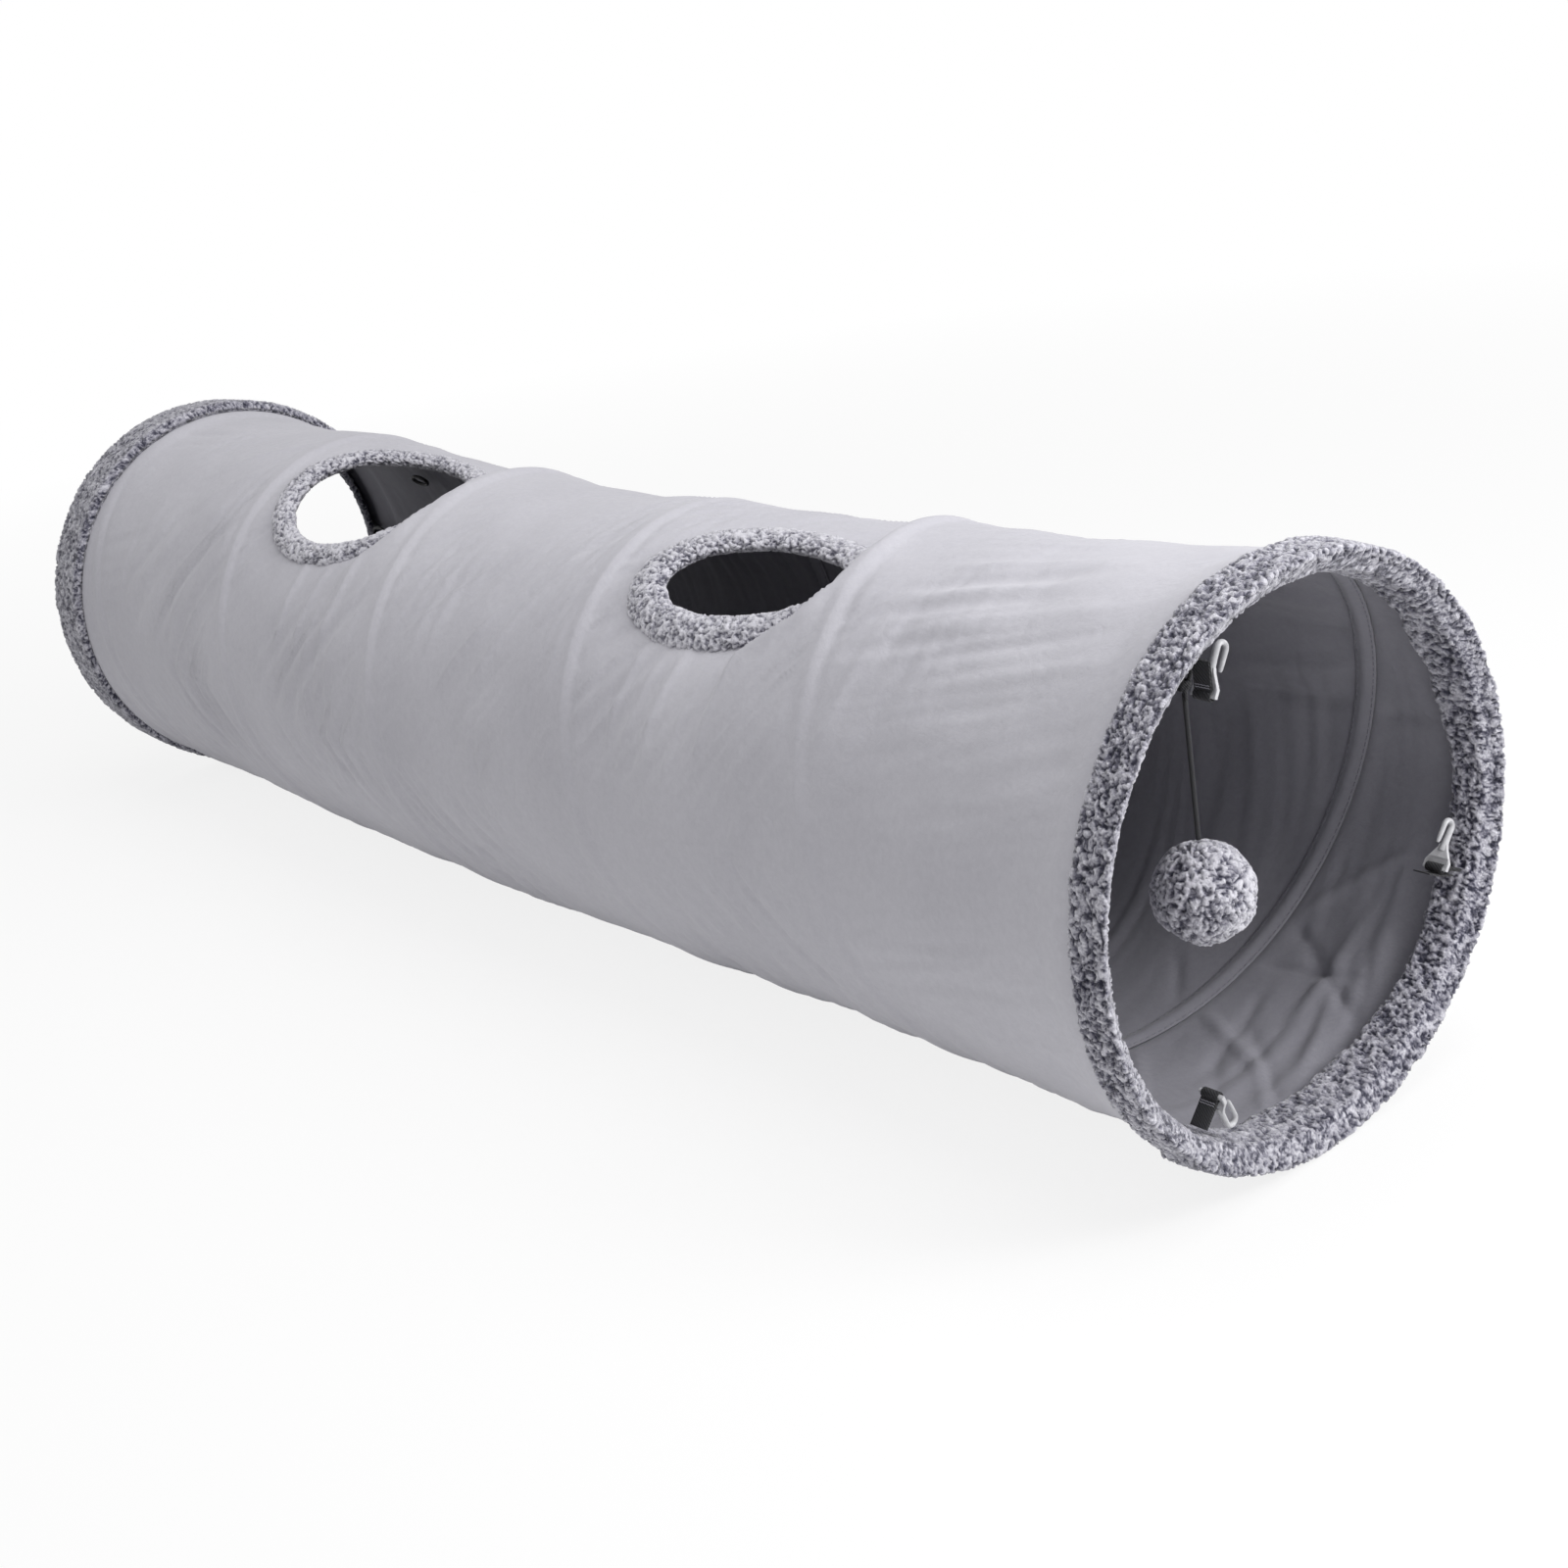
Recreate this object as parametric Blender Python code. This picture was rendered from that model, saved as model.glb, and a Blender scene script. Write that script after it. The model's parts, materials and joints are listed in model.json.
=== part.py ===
"""Collapsible cat tunnel: one spring-steel helix in a sewn channel inside a fabric tube.

Plush bindings close both ends over steel hoops, two peep holes have plush rims, a plush ball
hangs on an elastic cord in the near mouth, and hooks and elastic loops hold the tunnel flat.
The tunnel lies along X and stands on its two bindings at z = 0, with the near mouth at +X.
Front angles are measured round the tunnel's axis: 0 faces -Y, 90 is the top, 180 faces +Y.
"""

import math

import bmesh
import bpy
from mathutils import Matrix, Vector

# Overall sizes, in metres
TUNNEL_LENGTH = 1.200
BODY_RADIUS = 0.150
COLUMNS = 24
FIT_GAP = 0.0003
CUT_OVERRUN = 0.002
SMOOTH_ANGLE = 40.0
SMOOTH_ANGLE_PLUSH = 60.0

# Spring wire and the tape that closes its channel
WIRE_RADIUS = 0.00125
WIRE_SIDES_RESOLUTION = 1
HELIX_COLUMNS = 123
HELIX_FIRST_COLUMN = 31
TAPE_WIDTH = 0.012
TAPE_THICKNESS = 0.0010
TAPE_COLUMNS_SHORT = 1

# Cover cloth: ridges over the wire, hollows between the turns
COVER_THICKNESS = 0.0012
RIDGE_TOP_HALF_WIDTH = 0.002
RIDGE_FOOT_MARGIN = 0.001
SAG_ON_TOP = 0.007
SAG_BELOW = 0.002
RIM_FLARE_LENGTH = 0.028
HOLLOW_ROWS = 3
SHEET_TURNS = 9
SHEET_TURNS_BEFORE = 5
SECTION_COUNT = 5
LAST_SECTION_EXTRA = 0.0425

# Hoops, ferrules and plush bindings at the two mouths
HOOP_INSET = 0.010
FERRULE_WALL = 0.0005
FERRULE_LENGTH = 0.012
FERRULE_INSET = 0.002
BINDING_STAND = 0.007
BINDING_WEB = 0.0055
BINDING_INNER_THICKNESS = 0.0045
BINDING_INNER_WIDTH = 0.024
BINDING_LIP_THICKNESS = 0.0085
BINDING_LIP_DEPTH = 0.0075
NEAR_BAND_WIDTH = 0.030
FAR_BAND_WIDTH = 0.050
BINDING_ROUNDING = 0.0022

# Peep holes: offset from their section's middle, front angle, half length and half arc outside the rim
NEAR_HOLE_SECTION = 2
NEAR_HOLE_OFFSET = -0.00875
NEAR_HOLE_ANGLE = 69.0
NEAR_HOLE_HALF_LENGTH = 0.082
NEAR_HOLE_HALF_ARC = 0.064
FAR_HOLE_SECTION = 4
FAR_HOLE_OFFSET = -0.00425
FAR_HOLE_ANGLE = 77.0
FAR_HOLE_HALF_LENGTH = 0.090
FAR_HOLE_HALF_ARC = 0.081
# The holes' long axes lean towards the top as they near the mouth, square to the wire
HOLE_LEAN = math.radians(14.0)
TRIM_WIDTH = 0.020
TRIM_THICKNESS = 0.009
TRIM_POINTS = 28
TRIM_SIDES = 8

# Closures: webbing straps with hooks on the near rim, elastic loops on the far rim
CLOSURE_ANGLES = {"upper": 64.0, "back": 204.0, "lower": -48.0}
CLOSURE_INSETS = {"upper": 0.012, "back": 0.018, "lower": 0.012}
HOOK_LEANS = {"upper": 60.0, "back": 18.0, "lower": 26.0}
LOOP_ANGLE_OFFSET = -26.0
STRAP_LENGTH = 0.017
STRAP_WIDTH = 0.010
STRAP_THICKNESS = 0.0018
STRAP_EYE_WALL = 0.0008
STRAP_EYE_SIDES = 10
HOOK_BAR_HEIGHT = 0.0020
HOOK_PLATE_THICKNESS = 0.0022
HOOK_SLOT_SIDE_GAP = 0.0007
HOOK_SLOT_HEIGHT = 0.0042
HOOK_SHOULDER_HEIGHT = 0.0034
HOOK_CHEEK = 0.0016
HOOK_PLATE_LENGTH = 0.013
HOOK_NECK_WIDTH = 0.0046
HOOK_STEM_RADIUS = 0.0015
HOOK_STEM_LENGTH = 0.009
HOOK_BEND_RADIUS = 0.0034
HOOK_TIP_LENGTH = 0.010
HOOK_BEND_STEPS = 6
HOOK_BEND_TAPER = 0.25
HOOK_TIP_SHARE = 0.6
LOOP_CORD_RADIUS = 0.0015
LOOP_LENGTH = 0.024
LOOP_WIDTH = 0.013
LOOP_POINTS = 16
LOOP_SEAT_DEPTH = 0.001
INNER_LOOP_INSET = 0.160
INNER_LOOP_ANGLE = 147.5

# Ball toy in the near mouth
TOY_INSET = 0.028
TOY_Y = -0.056
TOY_PIVOT_DROP = 0.0319
TOY_HANGER_MARGIN = 0.0025
TOY_BALL_RADIUS = 0.027
TOY_BALL_DROP = 0.105
TOY_KNOT_RADIUS = 0.004
TOY_CORD_RADIUS = 0.00125
TOY_CORD_POINTS = 14

# Colours as red, green, blue, then roughness and metallic
MATERIALS = {
    "cover_cloth": ((0.53, 0.53, 0.56), 0.95, 0.0),
    "plush": ((0.44, 0.43, 0.48), 1.0, 0.0),
    "spring_steel": ((0.55, 0.55, 0.57), 0.35, 1.0),
    "webbing": ((0.02, 0.02, 0.022), 0.85, 0.0),
    "elastic": ((0.015, 0.015, 0.017), 0.8, 0.0),
    "hook_plastic": ((0.68, 0.68, 0.70), 0.45, 0.0),
}

# Sizes that follow from those above
STEP = 2.0 * math.pi / COLUMNS
RIM_RADIUS = BODY_RADIUS + BINDING_STAND
AXIS_HEIGHT = RIM_RADIUS * math.cos(STEP / 2.0)
MOUTH_X = TUNNEL_LENGTH / 2.0
HOOP_X = MOUTH_X - HOOP_INSET
WIRE_CENTRE_RADIUS = BODY_RADIUS - COVER_THICKNESS - FIT_GAP - WIRE_RADIUS
HELIX_END_X = HOOP_X - 2.0 * WIRE_RADIUS - 2.0 * FIT_GAP
PITCH = 2.0 * HELIX_END_X * COLUMNS / HELIX_COLUMNS
TAPE_OUTER_RADIUS = WIRE_CENTRE_RADIUS - WIRE_RADIUS - FIT_GAP
TAPE_INNER_RADIUS = TAPE_OUTER_RADIUS - TAPE_THICKNESS
RIDGE_FOOT_HALF_WIDTH = TAPE_WIDTH / 2.0 + RIDGE_FOOT_MARGIN
RIDGE_FOOT_RADIUS = TAPE_OUTER_RADIUS + FIT_GAP + COVER_THICKNESS
FERRULE_HALF = WIRE_RADIUS + FIT_GAP + FERRULE_WALL
RIM_COVER_RADIUS = WIRE_CENTRE_RADIUS + FERRULE_HALF + FIT_GAP + COVER_THICKNESS
COVER_END_X = MOUTH_X - BINDING_WEB - FIT_GAP
BAND_INNER_RADIUS = RIM_COVER_RADIUS + FIT_GAP
LEG_OUTER_RADIUS = TAPE_INNER_RADIUS - FIT_GAP
LEG_INNER_RADIUS = LEG_OUTER_RADIUS - BINDING_INNER_THICKNESS
LOOP_SEAT_RADIUS = LEG_INNER_RADIUS + LOOP_SEAT_DEPTH
INNER_LOOP_X = INNER_LOOP_INSET - MOUTH_X
TOY_X = MOUTH_X - TOY_INSET
TOY_PIVOT_HEIGHT = LEG_INNER_RADIUS - TOY_PIVOT_DROP
SECTION_LENGTH = (2.0 * HOOP_X - LAST_SECTION_EXTRA) / SECTION_COUNT
FLAT_MIDDLE_SHARE = math.cos(STEP / 2.0)
TRIM_RADIUS = BODY_RADIUS - TRIM_THICKNESS / 2.0


def clear_scene():
    """Start from an empty file."""
    for item in list(bpy.data.objects):
        bpy.data.objects.remove(item, do_unlink=True)


def make_collection(name):
    collection = bpy.data.collections.new(name)
    bpy.context.scene.collection.children.link(collection)
    return collection


def make_material(name, kind):
    colour, roughness, metallic = MATERIALS[kind]
    material = bpy.data.materials.new(name)
    material.use_nodes = True
    shader = material.node_tree.nodes["Principled BSDF"]
    shader.inputs["Base Color"].default_value = (*colour, 1.0)
    shader.inputs["Roughness"].default_value = roughness
    shader.inputs["Metallic"].default_value = metallic
    material.diffuse_color = (*colour, 1.0)
    return material


def on_wall(x, front_angle, radius):
    """The point at a front angle (radians) and radius from the tunnel's axis."""
    return Vector((x, -radius * math.cos(front_angle), AXIS_HEIGHT + radius * math.sin(front_angle)))


def around_axis(x, turn_angle, radius):
    """The point at a turn angle (radians, from +Y towards +Z) round the tunnel's axis."""
    return Vector((x, radius * math.cos(turn_angle), AXIS_HEIGHT + radius * math.sin(turn_angle)))


def column_angle(column):
    """Turn angle of a column of points: a flat lies at the bottom, not a corner."""
    return (column + 0.5) * STEP


def off_middle(turn_angle):
    """Angle between a turn angle and the middle of the flat that it falls on."""
    from_middle = (turn_angle / STEP) % 1.0 * STEP
    return min(from_middle, STEP - from_middle)


def flat_share(turn_angle):
    """How far in a flat between two columns lies, as a share of the radius at the columns."""
    return FLAT_MIDDLE_SHARE / math.cos(off_middle(turn_angle))


def helix_x(column):
    """Where the wire's centreline is along X, for a column counted without limit."""
    return HELIX_END_X - (HELIX_FIRST_COLUMN - column) * PITCH / COLUMNS


def add_object(name, mesh, collection, kind):
    item = bpy.data.objects.new(name, mesh)
    collection.objects.link(item)
    mesh.materials.clear()
    mesh.materials.append(make_material(name + "_material", kind))
    return item


def mesh_from_bmesh(name, work):
    """A mesh with its faces turned outwards, from a bmesh that is then freed."""
    bmesh.ops.recalc_face_normals(work, faces=work.faces)
    mesh = bpy.data.meshes.new(name)
    work.to_mesh(mesh)
    work.free()
    return mesh


def smooth_mesh(mesh, angle=SMOOTH_ANGLE):
    mesh.shade_smooth()
    mesh.set_sharp_from_angle(angle=math.radians(angle))


def tube_mesh(name, points, radius, cyclic=False, resolution=1, radii=None):
    """A round tube along a POLY curve, made into a welded mesh."""
    curve = bpy.data.curves.new(name + "_curve", "CURVE")
    curve.dimensions = "3D"
    curve.bevel_depth = radius
    curve.bevel_resolution = resolution
    curve.use_fill_caps = not cyclic
    spline = curve.splines.new("POLY")
    spline.points.add(len(points) - 1)
    for index, point in enumerate(points):
        spline.points[index].co = (*point, 1.0)
        if radii is not None:
            spline.points[index].radius = radii[index]
    spline.use_cyclic_u = cyclic
    return mesh_from_curve(name, curve)


def mesh_from_curve(name, curve):
    """The curve's evaluated mesh, with its caps welded on; the curve is removed."""
    carrier = bpy.data.objects.new(name + "_carrier", curve)
    bpy.context.scene.collection.objects.link(carrier)
    bpy.context.view_layer.update()
    evaluated = carrier.evaluated_get(bpy.context.evaluated_depsgraph_get())
    mesh = bpy.data.meshes.new_from_object(evaluated)
    bpy.data.objects.remove(carrier, do_unlink=True)
    bpy.data.curves.remove(curve)
    work = bmesh.new()
    work.from_mesh(mesh)
    bmesh.ops.remove_doubles(work, verts=work.verts, dist=FIT_GAP / 10.0)
    bpy.data.meshes.remove(mesh)
    return mesh_from_bmesh(name, work)


def plate_mesh(name, outlines, thickness):
    """A flat plate in the XY plane from closed outlines; inner outlines are holes."""
    curve = bpy.data.curves.new(name + "_curve", "CURVE")
    curve.dimensions = "2D"
    curve.fill_mode = "BOTH"
    curve.extrude = thickness / 2.0
    for outline in outlines:
        spline = curve.splines.new("POLY")
        spline.points.add(len(outline) - 1)
        for index, (across, along) in enumerate(outline):
            spline.points[index].co = (across, along, 0.0, 1.0)
        spline.use_cyclic_u = True
    return mesh_from_curve(name, curve)


def boolean(mesh, operation, other):
    """Mesh with another mesh cut from it or joined to it; the other mesh is used up."""
    base = bpy.data.objects.new("boolean_base", mesh)
    tool = bpy.data.objects.new("boolean_tool", other)
    for item in (base, tool):
        bpy.context.scene.collection.objects.link(item)
    modifier = base.modifiers.new("boolean", "BOOLEAN")
    modifier.operation = operation
    modifier.solver = "MANIFOLD"
    modifier.object = tool
    bpy.context.view_layer.update()
    evaluated = base.evaluated_get(bpy.context.evaluated_depsgraph_get())
    result = bpy.data.meshes.new_from_object(evaluated)
    for item in (base, tool):
        bpy.data.objects.remove(item, do_unlink=True)
    bpy.data.meshes.remove(other)
    return result


def turned_mesh(name, profile):
    """A ring turned round the tunnel's axis from a closed profile of (x, radius) points."""
    work = bmesh.new()
    corners = [work.verts.new(around_axis(x, column_angle(0), radius)) for x, radius in profile]
    edges = [work.edges.new((corners[i], corners[(i + 1) % len(corners)])) for i in range(len(corners))]
    bmesh.ops.spin(
        work,
        geom=corners + edges,
        axis=(1.0, 0.0, 0.0),
        cent=(0.0, 0.0, AXIS_HEIGHT),
        angle=2.0 * math.pi,
        steps=COLUMNS,
        use_merge=True,
    )
    bmesh.ops.remove_doubles(work, verts=work.verts, dist=FIT_GAP / 10.0)
    return mesh_from_bmesh(name, work)


def make_wire(parts):
    """One unbroken helix of spring wire; prints its least gap between turns."""
    columns = range(HELIX_FIRST_COLUMN - HELIX_COLUMNS, HELIX_FIRST_COLUMN + 1)
    points = [around_axis(helix_x(c), column_angle(c), WIRE_CENTRE_RADIUS) for c in columns]
    gaps = [
        (points[i] - points[j]).length - 2.0 * WIRE_RADIUS
        for i in range(len(points))
        for j in range(i + COLUMNS // 2, len(points))
    ]
    print(f"spring wire: least gap to itself {min(gaps) * 1000:.1f} mm")
    mesh = tube_mesh("spring_wire", points, WIRE_RADIUS, resolution=WIRE_SIDES_RESOLUTION)
    smooth_mesh(mesh)
    add_object("spring_wire", mesh, parts, "spring_steel")


def make_tape(parts):
    """The flat tape sewn under the wire, one strip from end to end."""
    first = HELIX_FIRST_COLUMN - HELIX_COLUMNS + TAPE_COLUMNS_SHORT
    last = HELIX_FIRST_COLUMN - TAPE_COLUMNS_SHORT
    work = bmesh.new()
    rings = []
    for column in range(first, last + 1):
        corners = [
            (-TAPE_WIDTH / 2.0, TAPE_OUTER_RADIUS),
            (TAPE_WIDTH / 2.0, TAPE_OUTER_RADIUS),
            (TAPE_WIDTH / 2.0, TAPE_INNER_RADIUS),
            (-TAPE_WIDTH / 2.0, TAPE_INNER_RADIUS),
        ]
        rings.append([
            work.verts.new(around_axis(helix_x(column) + offset, column_angle(column), radius))
            for offset, radius in corners
        ])
    for here, there in zip(rings, rings[1:]):
        for side in range(4):
            after = (side + 1) % 4
            work.faces.new((here[side], here[after], there[after], there[side]))
    work.faces.new(rings[0])
    work.faces.new(reversed(rings[-1]))
    mesh = mesh_from_bmesh("channel_tape", work)
    smooth_mesh(mesh)
    add_object("channel_tape", mesh, parts, "cover_cloth")


def ridge_offset(x, turn_angle):
    """Distance along X from the nearest turn of the wire."""
    column = turn_angle / STEP - 0.5
    offset = (x - helix_x(column)) % PITCH
    return min(offset, PITCH - offset)


def ease(share):
    share = min(max(share, 0.0), 1.0)
    return share * share * (3.0 - 2.0 * share)


def cover_radius(x, turn_angle):
    """Outside radius of the cloth: high over the wire and at the rims, slack between turns."""
    offset = ridge_offset(x, turn_angle)
    upward = 0.5 + 0.5 * math.sin(turn_angle)
    sag = SAG_BELOW + (SAG_ON_TOP - SAG_BELOW) * upward * upward
    if offset <= RIDGE_TOP_HALF_WIDTH:
        radius = BODY_RADIUS
    elif offset <= RIDGE_FOOT_HALF_WIDTH:
        run = (offset - RIDGE_TOP_HALF_WIDTH) / (RIDGE_FOOT_HALF_WIDTH - RIDGE_TOP_HALF_WIDTH)
        radius = BODY_RADIUS + (RIDGE_FOOT_RADIUS - BODY_RADIUS) * run
    else:
        run = (offset - RIDGE_FOOT_HALF_WIDTH) / (PITCH / 2.0 - RIDGE_FOOT_HALF_WIDTH)
        radius = RIDGE_FOOT_RADIUS - sag * ease(run)
    from_mouth = COVER_END_X - abs(x)
    flare = 1.0 - ease((from_mouth - RIM_FLARE_LENGTH / 2.0) / (RIM_FLARE_LENGTH / 2.0))
    return radius + (RIM_COVER_RADIUS - radius) * flare


def section_limits(number):
    """Near and far ends of a cover section along X, numbered from 1 at the near mouth."""
    near = HOOP_X - (number - 1) * SECTION_LENGTH - FIT_GAP / 2.0
    far = HOOP_X - number * SECTION_LENGTH + FIT_GAP / 2.0
    if number == 1:
        near = COVER_END_X
    if number == SECTION_COUNT:
        far = -COVER_END_X
    return near, far


def helical_sheet():
    """The open cloth surface as rows that follow the wire, longer than the tunnel at both ends."""
    hollow = PITCH - 2.0 * RIDGE_FOOT_HALF_WIDTH
    offsets = [
        -RIDGE_FOOT_HALF_WIDTH,
        -RIDGE_TOP_HALF_WIDTH,
        RIDGE_TOP_HALF_WIDTH,
    ]
    offsets += [
        RIDGE_FOOT_HALF_WIDTH + hollow * row / (HOLLOW_ROWS + 1.0) for row in range(HOLLOW_ROWS + 1)
    ]
    work = bmesh.new()
    profile = [
        around_axis(helix_x(0) + offset - SHEET_TURNS_BEFORE * PITCH, column_angle(0), BODY_RADIUS)
        for offset in [*offsets, PITCH - RIDGE_FOOT_HALF_WIDTH]
    ]
    corners = [work.verts.new(point) for point in profile]
    edges = [work.edges.new(pair) for pair in zip(corners, corners[1:])]
    bmesh.ops.spin(
        work,
        geom=corners + edges,
        axis=(1.0, 0.0, 0.0),
        cent=(0.0, 0.0, AXIS_HEIGHT),
        dvec=(PITCH / COLUMNS, 0.0, 0.0),
        angle=2.0 * math.pi * SHEET_TURNS,
        steps=COLUMNS * SHEET_TURNS,
    )
    bmesh.ops.remove_doubles(work, verts=work.verts, dist=FIT_GAP / 3.0)
    return work


def cut_across(work, x, side):
    """Cut the sheet square to the axis and drop what is beyond, or only score it if side is 0."""
    bmesh.ops.bisect_plane(
        work,
        geom=[*work.verts, *work.edges, *work.faces],
        dist=FIT_GAP,
        plane_co=(x, 0.0, 0.0),
        plane_no=(1.0, 0.0, 0.0),
        clear_outer=side > 0,
        clear_inner=side < 0,
    )
    for vert in work.verts:
        if abs(vert.co.x - x) < 2.0 * FIT_GAP:
            vert.co.x = x


def make_section(parts, number, holes):
    """One section of the cloth tube, with its ridge, its slack and any peep hole."""
    near, far = section_limits(number)
    work = helical_sheet()
    cut_across(work, near, 1)
    cut_across(work, far, -1)
    for end, at_end in ((1.0, number == 1), (-1.0, number == SECTION_COUNT)):
        for inset_share in (0.5, 1.0):
            if at_end:
                cut_across(work, end * (COVER_END_X - RIM_FLARE_LENGTH * inset_share), 0)
    bmesh.ops.remove_doubles(work, verts=work.verts, dist=FIT_GAP)
    outer = {}
    for vert in work.verts:
        angle = math.atan2(vert.co.z - AXIS_HEIGHT, vert.co.y)
        outer[vert] = around_axis(vert.co.x, angle, cover_radius(vert.co.x, angle) * flat_share(angle))
    for vert, place in outer.items():
        vert.co = place
    bmesh.ops.recalc_face_normals(work, faces=work.faces)
    mesh = shell_from_sheet(f"cover_section_{number}", work)
    for hole in holes:
        mesh = boolean(mesh, "DIFFERENCE", hole_cutter(*hole))
    smooth_mesh(mesh)
    add_object(f"cover_section_{number}", mesh, parts, "cover_cloth")


def shell_from_sheet(name, work):
    """Give the open sheet its thickness inwards, straight towards the tunnel's axis."""
    outer_verts = list(work.verts)
    outer_faces = list(work.faces)
    border = [edge for edge in work.edges if len(edge.link_faces) == 1]
    inner = {}
    for vert in outer_verts:
        angle = math.atan2(vert.co.z - AXIS_HEIGHT, vert.co.y)
        thickness = COVER_THICKNESS * flat_share(angle)
        radius = math.hypot(vert.co.y, vert.co.z - AXIS_HEIGHT) - thickness
        inner[vert] = work.verts.new(around_axis(vert.co.x, angle, radius))
    for face in outer_faces:
        work.faces.new([inner[vert] for vert in reversed(face.verts)])
    for edge in border:
        one, two = edge.verts
        work.faces.new((one, two, inner[two], inner[one]))
    return mesh_from_bmesh(name, work)


def hole_place(section, offset):
    """Where a peep hole's middle is along X."""
    return HOOP_X - (section - 0.5) * SECTION_LENGTH + offset


def bend_to_wall(mesh, hole_x, hole_angle):
    """Wrap a mesh drawn flat (x along the hole, y across it, z outwards) onto the tunnel's wall."""
    for vert in mesh.vertices:
        along = vert.co.x * math.cos(HOLE_LEAN) - vert.co.y * math.sin(HOLE_LEAN)
        around = vert.co.x * math.sin(HOLE_LEAN) + vert.co.y * math.cos(HOLE_LEAN)
        front_angle = math.radians(hole_angle) + around / TRIM_RADIUS
        vert.co = on_wall(hole_x + along, front_angle, TRIM_RADIUS + vert.co.z)


def hole_cutter(hole_x, hole_angle, half_length, half_arc):
    """The oval opening that the plush rim sits in, as a cutter bent to the wall."""
    reach = (TRIM_THICKNESS + SAG_ON_TOP) / 2.0
    span = math.hypot(half_length * math.sin(HOLE_LEAN), half_arc * math.cos(HOLE_LEAN))
    rise = (TRIM_RADIUS + reach) * (1.0 / math.cos(span / TRIM_RADIUS) - 1.0) + CUT_OVERRUN
    work = bmesh.new()
    bmesh.ops.create_cone(
        work,
        cap_ends=True,
        segments=TRIM_POINTS,
        radius1=1.0,
        radius2=1.0,
        depth=2.0 * reach + rise,
    )
    for vert in work.verts:
        vert.co.x *= half_length + FIT_GAP
        vert.co.y *= half_arc + FIT_GAP
        vert.co.z += rise / 2.0
    bmesh.ops.bisect_plane(
        work,
        geom=[*work.verts, *work.edges, *work.faces],
        dist=FIT_GAP,
        plane_co=(0.0, 0.0, reach),
        plane_no=(0.0, 0.0, 1.0),
    )
    mesh = mesh_from_bmesh("peephole_cutter", work)
    bend_to_wall(mesh, hole_x, hole_angle)
    return mesh


def make_trim(parts, name, hole_x, hole_angle, half_length, half_arc):
    """The rolled plush rim of a peep hole, a ring bent to the wall."""
    bpy.ops.mesh.primitive_torus_add(
        major_segments=TRIM_POINTS, minor_segments=TRIM_SIDES, major_radius=1.0, minor_radius=0.5
    )
    donor = bpy.context.active_object
    mesh = donor.data
    bpy.data.objects.remove(donor, do_unlink=True)
    for vert in mesh.vertices:
        turn = math.atan2(vert.co.y, vert.co.x)
        outward = 2.0 * (math.hypot(vert.co.x, vert.co.y) - 1.0)
        inset = TRIM_WIDTH / 2.0 * (1.0 - outward)
        along = (half_length - inset) * math.cos(turn)
        around = (half_arc - inset) * math.sin(turn)
        vert.co = (along, around, vert.co.z * TRIM_THICKNESS)
    bend_to_wall(mesh, hole_x, hole_angle)
    mesh.name = name
    smooth_mesh(mesh, SMOOTH_ANGLE_PLUSH)
    add_object(name, mesh, parts, "plush")


def make_hoop(parts, name, side):
    """The closed steel hoop in a mouth's binding."""
    points = [
        around_axis(side * HOOP_X, column_angle(column), WIRE_CENTRE_RADIUS) for column in range(COLUMNS)
    ]
    mesh = tube_mesh(name, points, WIRE_RADIUS, cyclic=True, resolution=WIRE_SIDES_RESOLUTION)
    smooth_mesh(mesh)
    add_object(name, mesh, parts, "spring_steel")


def make_ferrule(parts, name, side):
    """The crimped sleeve that joins the end of the helix to a hoop."""
    end_column = HELIX_FIRST_COLUMN if side > 0 else HELIX_FIRST_COLUMN - HELIX_COLUMNS
    inward_column = end_column - side
    end = around_axis(helix_x(end_column), column_angle(end_column), WIRE_CENTRE_RADIUS)
    inward = around_axis(helix_x(inward_column), column_angle(inward_column), WIRE_CENTRE_RADIUS)
    run = (inward - end).normalized()
    hoop_here = around_axis(side * HOOP_X, column_angle(end_column), WIRE_CENTRE_RADIUS)
    hoop_next = around_axis(side * HOOP_X, column_angle(inward_column), WIRE_CENTRE_RADIUS)
    chord = (hoop_next - hoop_here).normalized()
    outward = Vector((0.0, end.y, end.z - AXIS_HEIGHT)) + Vector((0.0, inward.y, inward.z - AXIS_HEIGHT))
    outward.normalize()
    wire_far = end + run * FERRULE_LENGTH
    low = min(wire_far.x * side, end.x * side) - FERRULE_HALF
    high = HOOP_X + FERRULE_HALF
    work = bmesh.new()
    bmesh.ops.create_cube(work, size=1.0)
    bmesh.ops.scale(work, verts=work.verts, vec=(high - low, FERRULE_LENGTH, 2.0 * FERRULE_HALF))
    along = Vector((1.0, 0.0, 0.0))
    frame = Matrix((along, chord, outward)).transposed().to_4x4()
    start = hoop_here + chord * (FERRULE_LENGTH / 2.0 + FERRULE_INSET)
    start.x = side * (low + high) / 2.0
    frame.translation = start
    bmesh.ops.transform(work, matrix=frame, verts=work.verts)
    mesh = mesh_from_bmesh(name, work)
    bore = WIRE_RADIUS + FIT_GAP
    reach = FERRULE_LENGTH + FERRULE_INSET
    for origin, direction in ((hoop_here, chord), (end, run)):
        points = [origin - direction * CUT_OVERRUN, origin + direction * (reach + CUT_OVERRUN)]
        mesh = boolean(mesh, "DIFFERENCE", tube_mesh("bore_cutter", points, bore, resolution=2))
    add_object(name, mesh, parts, "spring_steel")


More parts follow.
